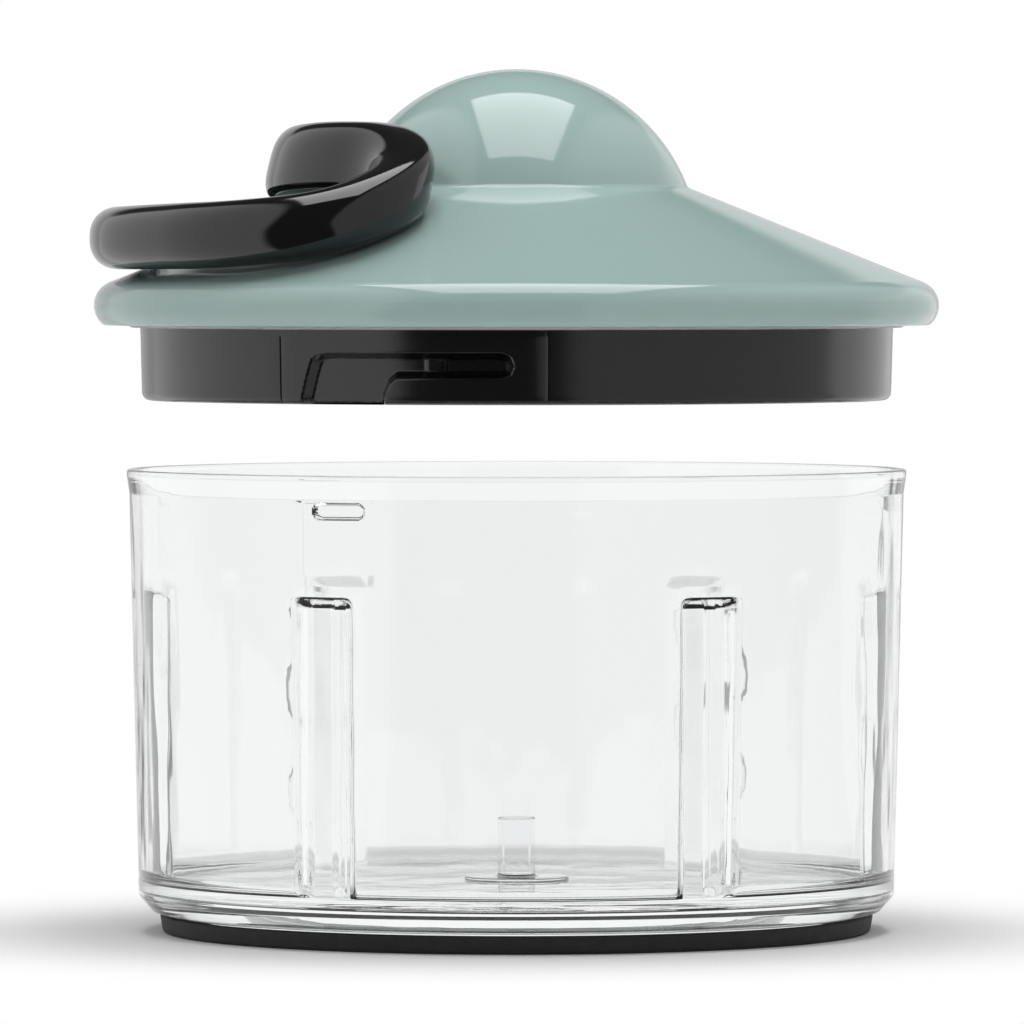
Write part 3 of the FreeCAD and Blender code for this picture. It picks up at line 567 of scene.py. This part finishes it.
def bowl_skin(sizes):
    """Clear bowl in one closed skin.

    The outline (r, z) runs from the pole under the floor, out over the stepped base, up the wall, over the
    lip, down the inside and in over the floor to the top of the post. On the inside r is drawn in by the
    ribs, whose flat faces lie at r = face / cos(bearing from the rib), and by the lugs. A rib's middle
    wanders a little with height and a flute runs beside it. A fine witness line is sunk at each side of a
    lug."""
    top, radius, low = sizes.height / MM, sizes.radius / MM, sizes.low_radius / MM
    wall, floor, face = sizes.wall / MM, sizes.floor / MM, sizes.rib_face / MM
    rib_top, rib_half, lug_z = sizes.rib_height / MM, 0.5 * sizes.rib_width / MM, sizes.lug_height / MM
    ribs, rib_arc, rib_foot, rib_crown = 6, 58.0, 0.6, 1.5
    flute_depth, flute_half, flute_off = 0.35, 1.1, 1.5
    lugs, lug_rise, lug_half, lug_end, lug_edge = 3, 1.4, 3.1, 1.3, 0.5
    witness_depth, witness_off, witness_width = 0.06, 6.1, 0.14
    base_top, lip_drop, flare = 9.1, 3.8, 0.34
    post, post_top, disc, disc_top = 3.0, floor + 10.0, 8.4, floor + 0.5
    lean = (radius - low) / (top - base_top)
    inner = radius - wall

    def wall_at(z):
        return inner - lean * (top - z)

    outside = rounded([
        (0.0, floor - 2.2), (56.4, floor - 2.2, 0.5), (57.2, 6.9, 0.4), (58.7, 6.9, 0.4), (58.3, 5.9, 0.5),
        (56.2, 4.1, 0.5), (54.0, 4.1, 0.4), (54.0, 1.5, 0.3), (56.0, 1.5, 0.3), (56.0, 3.4, 0.3),
        (58.2, 3.4, 0.6), (low, 6.1, 0.9), (low, base_top, 0.4),
        (radius - lean * lip_drop, top - lip_drop, 2.6), (radius + flare, top - 0.9, 0.9),
        (radius + flare, top, 0.42), (inner, top, 0.5), (wall_at(top - 2.0), top - 2.0),
    ], steps=4)
    heights = np.concatenate([
        [top - 3.2], lug_z + np.linspace(1.6, -1.6, 17), [65.0, 62.0, 59.0, 57.0],
        rib_top - np.linspace(-0.6, 1.6, 12), np.linspace(rib_top - 2.2, floor + 5.0, 22),
    ])
    inside = rounded([
        (wall_at(floor + 4.2), floor + 4.2), (wall_at(floor), floor, 3.0), (disc, floor, 0.2),
        (disc, disc_top, 0.2), (post, disc_top, 0.6), (post, post_top, 0.35), (0.0, post_top),
    ], steps=4)
    r = np.concatenate([outside[:, 0], wall_at(heights), inside[:, 0]])
    z = np.concatenate([outside[:, 1], heights, inside[:, 1]])

    rib_first, lug_first = FRONT + sizes.rib_bearing, FRONT + sizes.lug_bearing
    rib_edge = rib_half - np.linspace(-0.68, 1.56, 13)
    rib_steps = np.concatenate([rib_edge, [2.9, 2.7, 2.5, 2.25, 1.5, 0.8, 0.55, 0.35, 0.1]])
    rib_steps = np.arcsin(np.concatenate([rib_steps, -rib_steps]) / rib_arc)
    witness_steps = np.array([5.85, 6.0, 6.1, 6.2, 6.35])
    lug_steps = np.concatenate([np.linspace(-4.6, 4.6, 31), -witness_steps, witness_steps]) / wall_at(lug_z)
    turns = gathered(even_turns(96), rib_first, ribs, rib_steps)
    turns = gathered(turns, lug_first, lugs, lug_steps)

    tall = z[:, None]
    on_face = tall < rib_top - 1.5
    bearing = nearest(turns, rib_first, ribs)
    which = np.round((turns - rib_first) * ribs / FULL_TURN)
    wander = 0.06 * np.sin(0.4 * tall + 2.1 * which) + 0.012 * np.sin(0.9 * tall - 1.3 * which)
    across = rib_arc * np.sin(bearing) + wander * on_face * np.clip((tall - floor) / 8.0, 0.0, 1.0)
    rib = swell(rib_half - np.abs(across), rib_foot, rib_crown) * swell(rib_top - tall, 0.5, rib_crown)
    flute = flute_depth * swell(flute_half - np.abs(across - flute_off), 0.3, 0.6)
    flute = flute * on_face * (tall > floor + 1.0)
    drawn = np.maximum(r[:, None] - face / np.cos(bearing) + flute, 0.0) * rib
    u = wall_at(lug_z) * nearest(turns, lug_first, lugs)
    from_lug = np.hypot(np.maximum(np.abs(u) - lug_half, 0.0), tall - lug_z)
    drawn = drawn + lug_rise * shoulder(lug_end - from_lug, lug_edge)
    witness = np.exp(-(((np.abs(u) - witness_off) / witness_width) ** 2)) * (tall > rib_top + 1.0)
    drawn = drawn - witness_depth * witness
    row = np.arange(len(r))[:, None]
    is_inside = (row >= len(outside)) & (row < len(r) - 1)
    return Skin().add(spin((r[:, None] - drawn * is_inside, z), turns))


def foot_ring_skin():
    """Rubber channel under the bowl's base rim, with two fine grooves in its tread."""
    return Skin().add(lathe(rounded([
        (52.5, 0.0, 0.5), (53.3, 0.0, 0.1), (53.6, 0.35, 0.1), (53.9, 0.0, 0.1), (54.4, 0.0, 0.1),
        (54.7, 0.35, 0.1), (55.0, 0.0, 0.1), (56.6, 0.0, 0.7), (57.1, 2.9, 0.45), (56.05, 2.9, 0.1),
        (56.05, 1.45), (53.95, 1.45), (53.95, 2.6, 0.1), (52.5, 2.6, 0.35),
    ], closed=True), 192), closed_rows=True)


# Lid


def cover_skin(sizes):
    """Cover in one closed skin: inside from the dome's pole down to the pocket, out over the rolled rim, up
    the cone and over the dome. The dome is an arc about its own centre. The rolled rim is an arc of its own
    radius from the lip to the shoulder, with a fine parting line in it."""
    seat, crown, dome = sizes.seat / MM, sizes.crown / MM, sizes.dome / MM
    crease, outer = sizes.crease / MM, sizes.shoulder / MM
    wall, roll_radius, lip_radius, bead = 2.2, 4.0, 66.0, 6.8
    pocket, roof = 64.2, 101.78
    parting_z, parting_width, parting_depth = 3.3, 0.16, 0.09
    centre = crown - dome
    crease_z = centre + math.sqrt(dome**2 - crease**2)
    shoulder_z = seat + bead
    inner_angle = math.degrees(math.acos((crease - 1.76) / (dome - wall)))
    under = arc((0.0, centre), dome - wall, 90.0, inner_angle, 24)
    edge = rounded([
        tuple(under[-1]), (pocket, roof, 0.6), (pocket, seat, 0.3), (65.6, seat, 0.3),
        (lip_radius, seat + 0.05),
    ])
    lip, rim = np.array([lip_radius, seat]), np.array([outer, shoulder_z])
    middle, chord = 0.5 * (lip + rim), rim - lip
    reach = np.linalg.norm(chord)
    inward = np.array([-chord[1], chord[0]]) / reach
    hub = middle + inward * math.sqrt(roll_radius**2 - (0.5 * reach) ** 2)
    start, end = (np.degrees(np.arctan2(*(spot - hub)[::-1])) for spot in (lip, rim))
    roll = arc(hub, roll_radius, start, end - 6.0, 26)
    roll[:, 0] -= parting_depth * np.exp(-(((roll[:, 1] - seat - parting_z) / parting_width) ** 2))
    slope = (crease_z - shoulder_z) / (outer - crease)
    ramp_foot, ramp_head = (outer - 1.6, shoulder_z + slope * 1.6), (crease + 4.0, crease_z - slope * 4.0)
    turn_up = rounded([tuple(roll[-1]), (outer - 0.25, shoulder_z + 0.14, 1.2), ramp_foot])[1:]
    ramp = np.linspace(ramp_foot, ramp_head, 12)
    crease_angle = math.degrees(math.asin((crease_z - centre) / dome))
    ball = arc((0.0, centre), dome, crease_angle + 3.5, 90.0, 48)
    bend = rounded([ramp_head, (crease, crease_z, 1.3), tuple(ball[0])], steps=8)[1:]
    under[0, 0] = ball[-1, 0] = 0.0
    line = np.concatenate([under[:-1], edge, roll[1:], turn_up, ramp[1:], bend, ball[1:]])
    return Skin().add(lathe(line, 256))


# Outlines on the unrolled skirt: millimetres along it from the groove's middle, and height
GROOVE = np.array([
    (-18.9, 84.4), (-4.635, 84.4), (-4.235, 86.8), (-3.4, 88.5), (-2.235, 89.4), (14.535, 89.4),
    (15.74, 89.9), (16.235, 91.1), (15.74, 92.3), (14.535, 92.8), (-14.0, 92.8), (-15.5, 92.6),
    (-16.5, 91.9), (-17.4, 89.4),
])
WINDOW = np.array([
    (5.735, 89.8), (14.535, 89.8), (15.45, 90.2), (15.83, 91.1), (15.45, 92.0), (14.535, 92.4), (5.735, 92.4),
])
DETENT = np.array([(2.1, 89.2), (5.2, 89.2), (5.2, 93.0), (2.1, 93.0)])


def base_skin(sizes):
    """Plate, bearing boss and skirt in one closed skin.

    On the skirt's outside r is drawn in by the locking grooves, which sink by 3t^2 - 2t^3 across the edge of
    the groove's outline, more in the window at the locking end and less on the detent, and by fine lines
    where the parts of the mould met."""
    seat, skirt, foot = sizes.seat / MM, sizes.skirt / MM, sizes.skirt_foot / MM
    depth, window_depth, detent_rise = sizes.groove / MM, 2.9, 0.55
    grooves, line_depth, line_width = 3, 0.14, 0.13
    boss, boss_foot, boss_top, plate_top = 11.5, 92.5, 104.0, 99.4
    bush, hub, bush_foot = 8.02, 7.05, 93.3
    pocket, pocket_top, wall_top, skirt_inner = 62.3, 98.15, 95.6, 57.0
    line = rounded([
        (hub, boss_foot, 0.3), (boss, boss_foot, 0.6), (boss, seat, 0.8), (skirt_inner, seat, 0.8),
        (skirt_inner, foot, 0.5), (skirt - 0.3, foot, 1.3), (skirt - 0.04, wall_top),
    ], steps=5)[:-1]
    heights = np.linspace(foot + 1.6, wall_top, 55)
    upper = rounded([
        (skirt, 95.9), (skirt, pocket_top, 0.1), (pocket, pocket_top, 0.1), (pocket, seat, 0.2),
        (64.0, seat, 0.2), (64.0, plate_top, 0.3), (boss, plate_top, 0.8), (boss, boss_top, 0.3),
        (bush, boss_top, 0.3), (bush, bush_foot, 0.1), (hub, bush_foot, 0.1),
    ], steps=3)
    wall = skirt - 0.3 * (seat - heights) / (seat - foot)
    r = np.concatenate([line[:, 0], wall, upper[:, 0]])
    z = np.concatenate([line[:, 1], heights, upper[:, 1]])
    first = FRONT + sizes.groove_bearing
    mould = np.radians([-37.6, 4.4, 128.0, 196.0]) + FRONT
    mould_steps = np.array([-0.3, -0.15, -0.07, 0.0, 0.07, 0.15, 0.3])
    turns = gathered(even_turns(72), first, grooves, np.arange(-19.4, 17.4, 0.3) / skirt)
    turns = gathered(turns, 0.0, 1, (mould[:, None] + mould_steps / skirt).ravel())
    u = skirt * nearest(turns, first, grooves)
    tall = z[:, None]
    cut = depth * swell(inside_outline(u, tall, GROOVE), 0.5, 0.9)
    cut = cut + (window_depth - depth) * swell(inside_outline(u, tall, WINDOW), 0.1, 0.35)
    cut = cut - detent_rise * shoulder(inside_outline(u, tall, DETENT), 0.7) * (cut > 0.5 * depth)
    lines = sum(np.exp(-((skirt * nearest(turns, m, 1) / line_width) ** 2)) for m in mould)
    row = np.arange(len(r))[:, None]
    on_skirt = (row >= len(line) - 8) & (row < len(line) + len(heights))
    drawn = np.maximum(cut, line_depth * lines) * on_skirt
    return Skin().add(spin((r[:, None] - drawn, z), turns), closed_rows=True)


def seal_skin():
    """Soft seal: a rounded section with a small lip under it."""
    return Skin().add(lathe(rounded([
        (60.4, 96.9, 0.3), (61.0, 96.62, 0.3), (61.6, 96.62, 0.3), (62.1, 96.95, 0.3), (62.1, 98.05, 0.3),
        (60.4, 98.05, 0.3),
    ], closed=True), 160), closed_rows=True)


def bushing_skin(height):
    """Flanged sleeve in the dome's wall, with a flared mouth for the cord."""
    bore, sleeve, flange = 0.95, 2.15, 2.95
    form = lathe(rounded([
        (bore, BUSHING_INSIDE, 0.1), (sleeve, BUSHING_INSIDE, 0.2), (sleeve, 25.6, 0.1), (flange, 25.6, 0.2),
        (flange, 27.15, 0.45), (1.7, 27.15, 0.5), (bore, 26.3, 0.4),
    ], closed=True), 64)
    return Skin().add(along_cord(form, height), closed_rows=True)


# Handle


def handle_route(sizes):
    """Control points of half the loop, from the outer limb's middle to the inner one's, and their mirror
    in Y."""
    reach, inner, width = sizes.reach / MM, sizes.inner / MM, sizes.width / MM
    low, high = sizes.low / MM, sizes.high / MM
    rise = high - low
    half = np.array([
        (reach, 0.28 * width, low),
        (0.92 * reach, 0.54 * width, low),
        (0.72 * reach, 0.91 * width, low + 0.01 * rise),
        (0.45 * reach, width, low + 0.14 * rise),
        (0.27 * reach, 0.81 * width, low + 0.55 * rise),
        (0.31 * reach, 0.54 * width, high),
        (0.87 * inner, 0.35 * width, high + 0.03 * rise),
        (inner, 0.16 * width, high),
    ])
    near = half * (-1.0, -1.0, 1.0)
    far = half[::-1] * (-1.0, 1.0, 1.0)
    return np.concatenate([near, far])


def handle_skin(sizes):
    """Handle: a tube round its smooth loop. Its section is |x|^p + |z|^p = r^p, with p from low_power on the
    low limbs to more_power above that on the raised one, which is also deeper and leans towards the dome.
    Where a low limb runs well beside the cord, its upper half bulges a little."""
    low_power, more_power = 2.3, 0.7
    deeper, drop, lean, bulge = 0.24, 1.2, 0.3, 0.08
    line = smooth_loop(handle_route(sizes), samples=40, blur=0.02)
    t = even_turns(72)
    low, high = sizes.low / MM, sizes.high / MM
    raised = np.clip((line[:, 2] - low - 4.0) / (high - low - 5.0), 0.0, 1.0)
    raised = (raised * raised * (3.0 - 2.0 * raised))[:, None]
    power = low_power + more_power * raised
    radius = (np.abs(np.cos(t)) ** power + np.abs(np.sin(t)) ** power) ** (-1.0 / power)
    grid = tube(line, 0.5 * sizes.thickness / MM * radius, len(t))
    side_limb = np.clip((np.abs(line[:, 1]) - 18.0) / 20.0, 0.0, 1.0)[:, None] * (1.0 - raised)
    above = grid[..., 2] - line[:, None, 2]
    stretched = above * (1.0 + deeper * raised) - drop * raised
    grid[..., 0] += lean * above * raised
    grid[..., 2] = line[:, None, 2] + np.where(above > 0.0, stretched + above * bulge * side_limb, stretched)
    return Skin().add(grid, closed_rows=True)


def plug_skin(sizes, height):
    """Press-in plug over the knot: a low dome with a chamfered edge, on the handle's outer side."""
    outer = (sizes.inner + 0.5 * sizes.thickness) / MM
    radius, foot = 2.15, outer - 1.9
    form = lathe(rounded([
        (0.0, foot), (radius, foot, 0.2), (radius, outer - 0.62, 0.25), (1.2, outer - 0.3, 0.4),
        (0.0, outer - 0.24),
    ]), 48)
    return Skin().add(along_cord(form, height))


def cord_skin(sizes, start, end):
    """Cord between the dome and the handle: a fine tube whose strands swell it as sin(6 t + 3 s), at turn t
    and s millimetres from the lid's axis."""
    stations, sides, strand = 49, 24, 0.03
    height, radius = sizes.cord_height / MM, 0.5 * sizes.cord / MM
    along = np.linspace(start, end, stations)[:, None]
    t = even_turns(sides)[None]
    r = radius * (1.0 - strand + strand * np.sin(6.0 * t + along * 3.0))
    grid = np.stack([-along * np.ones(sides), r * np.cos(t), height + r * np.sin(t)], -1)
    poles = [np.broadcast_to([-at, 0.0, height], (1, sides, 3)) for at in (start, end)]
    return Skin().add(np.concatenate([poles[0], grid, poles[1]]), turned_in=True)


# Stage


def softbox(name, spot, target, size, watts, mirrored=False):
    """Rectangular lamp at a spot, aimed at a target, unseen by the camera and, unless mirrored, in gloss."""
    lamp = bpy.data.lights.new(name, "AREA")
    lamp.shape = "RECTANGLE"
    lamp.size, lamp.size_y = size
    lamp.energy = watts
    made = bpy.data.objects.new(name, lamp)
    bpy.context.scene.collection.objects.link(made)
    made.location = spot
    way = np.array(target) - np.array(spot)
    aside = math.hypot(way[0], way[1])
    heading = math.atan2(-way[0], way[1]) if aside > 1e-6 else 0.0
    made.rotation_euler = (math.atan2(aside, -way[2]), 0.0, heading)
    made.visible_camera = False
    made.visible_glossy = mirrored


def mirrored_room(paint, across, depth, up):
    """What gloss shows in a direction: a white panel on the left, a dimmer one on the right, a low one behind
    the object, and a dark gap in front."""
    gap_light, left_light, right_light, low_light = 0.06, 0.94, 0.5, 0.6
    left = paint.smooth_step(up * 0.25 - across, 0.52, 0.62)
    right = paint.smooth_step(across - up * 0.23, 0.23, 0.33)
    behind = paint.smooth_step(depth, 0.3, 0.4) * (1.0 - paint.smooth_step(up, 0.3, 0.4))
    light = gap_light + left * left_light + right * right_light + behind * low_light
    return paint.node("Clamp", {0: light})


def studio_world(level):
    """White to the camera, panels to gloss, a bright back to what is seen through the bowl, and for plain
    light a room that is bright behind and beside the object and dim in front and above."""
    world = bpy.data.worlds.new("studio")
    world.use_nodes = True
    paint = Paint(world.node_tree)
    across, depth, up = paint.axes(paint.node("TexCoord", output="Generated"))
    seen, through, mirrored = paint.rays()
    panels = mirrored_room(paint, across, depth, up)
    dimmest = 0.3
    band = paint.node("Clamp", {0: 1.0 - paint.node("Math", {0: up * 1.6}, operation="ABSOLUTE")})
    back = paint.smooth_step(depth, -0.75, 0.35, start=0.12)
    room = (dimmest + band * back * (1.0 - dimmest)) * level
    behind_bowl = paint.smooth_step(depth, 0.15, 0.8, start=0.42)
    plain = (1.0 - seen) * (1.0 - through) * (1.0 - mirrored)
    strength = room * plain + behind_bowl * through + panels * mirrored + seen
    shade = paint.node("Background", {0: WHITE, 1: strength})
    paint.feed(paint.tree.nodes.new("ShaderNodeOutputWorld").inputs[0], shade)
    bpy.context.scene.world = world


def floor_finish():
    """Pale floor that keeps the object's shadow near it and turns plain white further out. Gloss sees the
    room's panels carried on over it, and the bowl sees it white, with a painted shadow, a greyer ring, round
    its foot."""
    made = bpy.data.materials.new("studio_floor")
    made.use_nodes = True
    paint = Paint(made.node_tree)
    where = paint.node("TexCoord", output="Object")
    away = paint.node("VectorMath", {0: where}, output="Value", operation="LENGTH")
    across, depth, level = paint.axes(paint.node("VectorMath", {0: where}, operation="NORMALIZE"))
    seen, through, mirrored = paint.rays()
    panels = mirrored_room(paint, across, depth, level)
    far = paint.smooth_step(away, 0.065, 0.13)
    # Painted shadow: seen through the bowl, the floor's white glow is dimmed in a ring round the bowl's foot.
    shadow_ring_depth = 0.3
    ring = paint.node("MapRange", {0: away, 1: 0.06, 2: 0.068})
    ring = ring * (1.0 - paint.node("MapRange", {0: away, 1: 0.09, 2: 0.2}))
    pale = paint.node("BsdfDiffuse", {0: (0.93, 0.93, 0.93, 1.0)})
    strength = 1.0 - through * ring * shadow_ring_depth - mirrored * (1.0 - panels)
    white = paint.node("Emission", {0: WHITE, 1: strength})
    whiteness = paint.node("Clamp", {0: (seen + mirrored) * far + through})
    mixed = paint.node("MixShader", {0: whiteness, 1: pale, 2: white})
    paint.feed(paint.tree.nodes.new("ShaderNodeOutputMaterial").inputs[0], mixed)
    return made


# Operators


class ChopperStep:
    """What the chopper's operators share."""

    bl_options = {"REGISTER", "UNDO"}


class CHOPPER_OT_finishes(ChopperStep, bpy.types.Operator):
    """Make the finishes and give every carried-over node its own"""

    bl_idname = "chopper.finishes"
    bl_label = "Finishes"

    def execute(self, context):
        make_finishes(context.scene.chopper_colours)
        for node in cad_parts.values():
            for slot in node.material_slots:
                slot.material = FINISHES[slot.material.name.split(".")[0]]
        return {"FINISHED"}


class CHOPPER_OT_bowl(ChopperStep, bpy.types.Operator):
    """Build the clear bowl and its rubber foot ring"""

    bl_idname = "chopper.bowl"
    bl_label = "Bowl and foot ring"

    def execute(self, context):
        place("clear_bowl", bowl_skin(context.scene.chopper_bowl), "clear_plastic", "bowl", ["bowl"])
        place("foot_tread", foot_ring_skin(), "black_rubber", "bowl", ["foot_ring"])
        return {"FINISHED"}


class CHOPPER_OT_lid(ChopperStep, bpy.types.Operator):
    """Build the lid: cover, base with its locking grooves, seal and cord bushing"""

    bl_idname = "chopper.lid"
    bl_label = "Lid"

    def execute(self, context):
        sizes = context.scene.chopper_lid
        cord_height = context.scene.chopper_handle.cord_height / MM
        place("cover_shell", cover_skin(sizes), "sage_plastic", "lid", ["lid_cover"])
        place("skirted_base", base_skin(sizes), "black_gloss", "lid", ["lid_base"], finish_name="black_satin")
        place("soft_seal", seal_skin(), "silicone", "seal", ["lid_seal"])
        place("cord_mouth", bushing_skin(cord_height), "black_gloss", "lid", ["cord_bushing"])
        return {"FINISHED"}


class CHOPPER_OT_handle(ChopperStep, bpy.types.Operator):
    """Build the pull handle, its plug and the cord that joins it to the lid"""

    bl_idname = "chopper.handle"
    bl_label = "Handle and cord"

    def execute(self, context):
        sizes = context.scene.chopper_handle
        height = sizes.cord_height / MM
        place("pull_loop", handle_skin(sizes), "black_gloss", "handle", ["handle"])
        place("knot_cover", plug_skin(sizes, height), "black_gloss", "handle", ["handle_plug"])
        start, end = BUSHING_INSIDE, sizes.inner / MM - 0.8
        cord = place("cord_stretch", cord_skin(sizes, start, end), "cord", None, ["pull_cord"])
        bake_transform(cord)
        return {"FINISHED"}


class CHOPPER_OT_stage(ChopperStep, bpy.types.Operator):
    """Set the stage: pale floor, studio room, softboxes and the camera at the picture's angle"""

    bl_idname = "chopper.stage"
    bl_label = "Stage"

    def execute(self, context):
        half = 6.0
        corners = np.array([[(x, y, 0.0) for x in (-half, half)] for y in (-half, half)]) / MM
        floor = bpy.data.objects.new("floor", Skin().add(corners, closed_columns=False).mesh("floor"))
        context.scene.collection.objects.link(floor)
        floor.data.materials.append(floor_finish())
        studio_world(level=0.55)
        middle = (0.0, 0.0, 0.1)
        softbox("top_softbox", (0.035, 0.0, 0.8), (0.035, 0.0, 0.1), (0.48, 0.75), 4.3, mirrored=True)
        softbox("left_softbox", (-0.9, 0.32, 0.8), middle, (0.9, 0.9), 2.5)
        softbox("right_softbox", (0.95, 0.36, 0.8), middle, (0.9, 0.9), 2.6)
        softbox("front_softbox", (0.0, -1.7, 0.9), middle, (1.4, 0.9), 6.9)
        camera = bpy.data.cameras.new("picture_camera")
        camera.sensor_width = SENSOR
        camera.lens = SENSOR * FOCAL_PIXELS / PICTURE
        camera.clip_start, camera.clip_end = 0.05, 30.0
        made = bpy.data.objects.new("picture_camera", camera)
        context.scene.collection.objects.link(made)
        made.location = CAMERA_AT
        made.rotation_euler = (math.radians(90.0 - CAMERA_DIP), 0.0, 0.0)
        context.scene.camera = made
        context.scene.view_settings.view_transform = "Standard"
        return {"FINISHED"}


STEPS = (CHOPPER_OT_finishes, CHOPPER_OT_bowl, CHOPPER_OT_lid, CHOPPER_OT_handle, CHOPPER_OT_stage)
GROUPS = {
    "chopper_bowl": ChopperBowlSizes,
    "chopper_lid": ChopperLidSizes,
    "chopper_handle": ChopperHandleSizes,
    "chopper_colours": ChopperColours,
}


class CHOPPER_PT_panel(bpy.types.Panel):
    """Sizes, colours and building steps of the chopper"""

    bl_idname = "CHOPPER_PT_panel"
    bl_label = "Food chopper"
    bl_space_type = "VIEW_3D"
    bl_region_type = "UI"
    bl_category = "Chopper"

    def draw(self, context):
        for name, group in GROUPS.items():
            box = self.layout.box()
            box.label(text=group.__name__.replace("Chopper", ""))
            for key in group.__annotations__:
                box.prop(getattr(context.scene, name), key)
        for step in STEPS:
            self.layout.operator(step.bl_idname)


def register():
    for made in (*GROUPS.values(), *STEPS, CHOPPER_PT_panel):
        bpy.utils.register_class(made)
    for name, group in GROUPS.items():
        setattr(bpy.types.Scene, name, bpy.props.PointerProperty(type=group))


def unregister():
    for name in GROUPS:
        delattr(bpy.types.Scene, name)
    for made in reversed((*GROUPS.values(), *STEPS, CHOPPER_PT_panel)):
        bpy.utils.unregister_class(made)


def main():
    register()
    bpy.ops.chopper.finishes()
    bpy.ops.chopper.bowl()
    bpy.ops.chopper.lid()
    bpy.ops.chopper.handle()
    bpy.ops.chopper.stage()


if __name__ == "__main__":
    main()
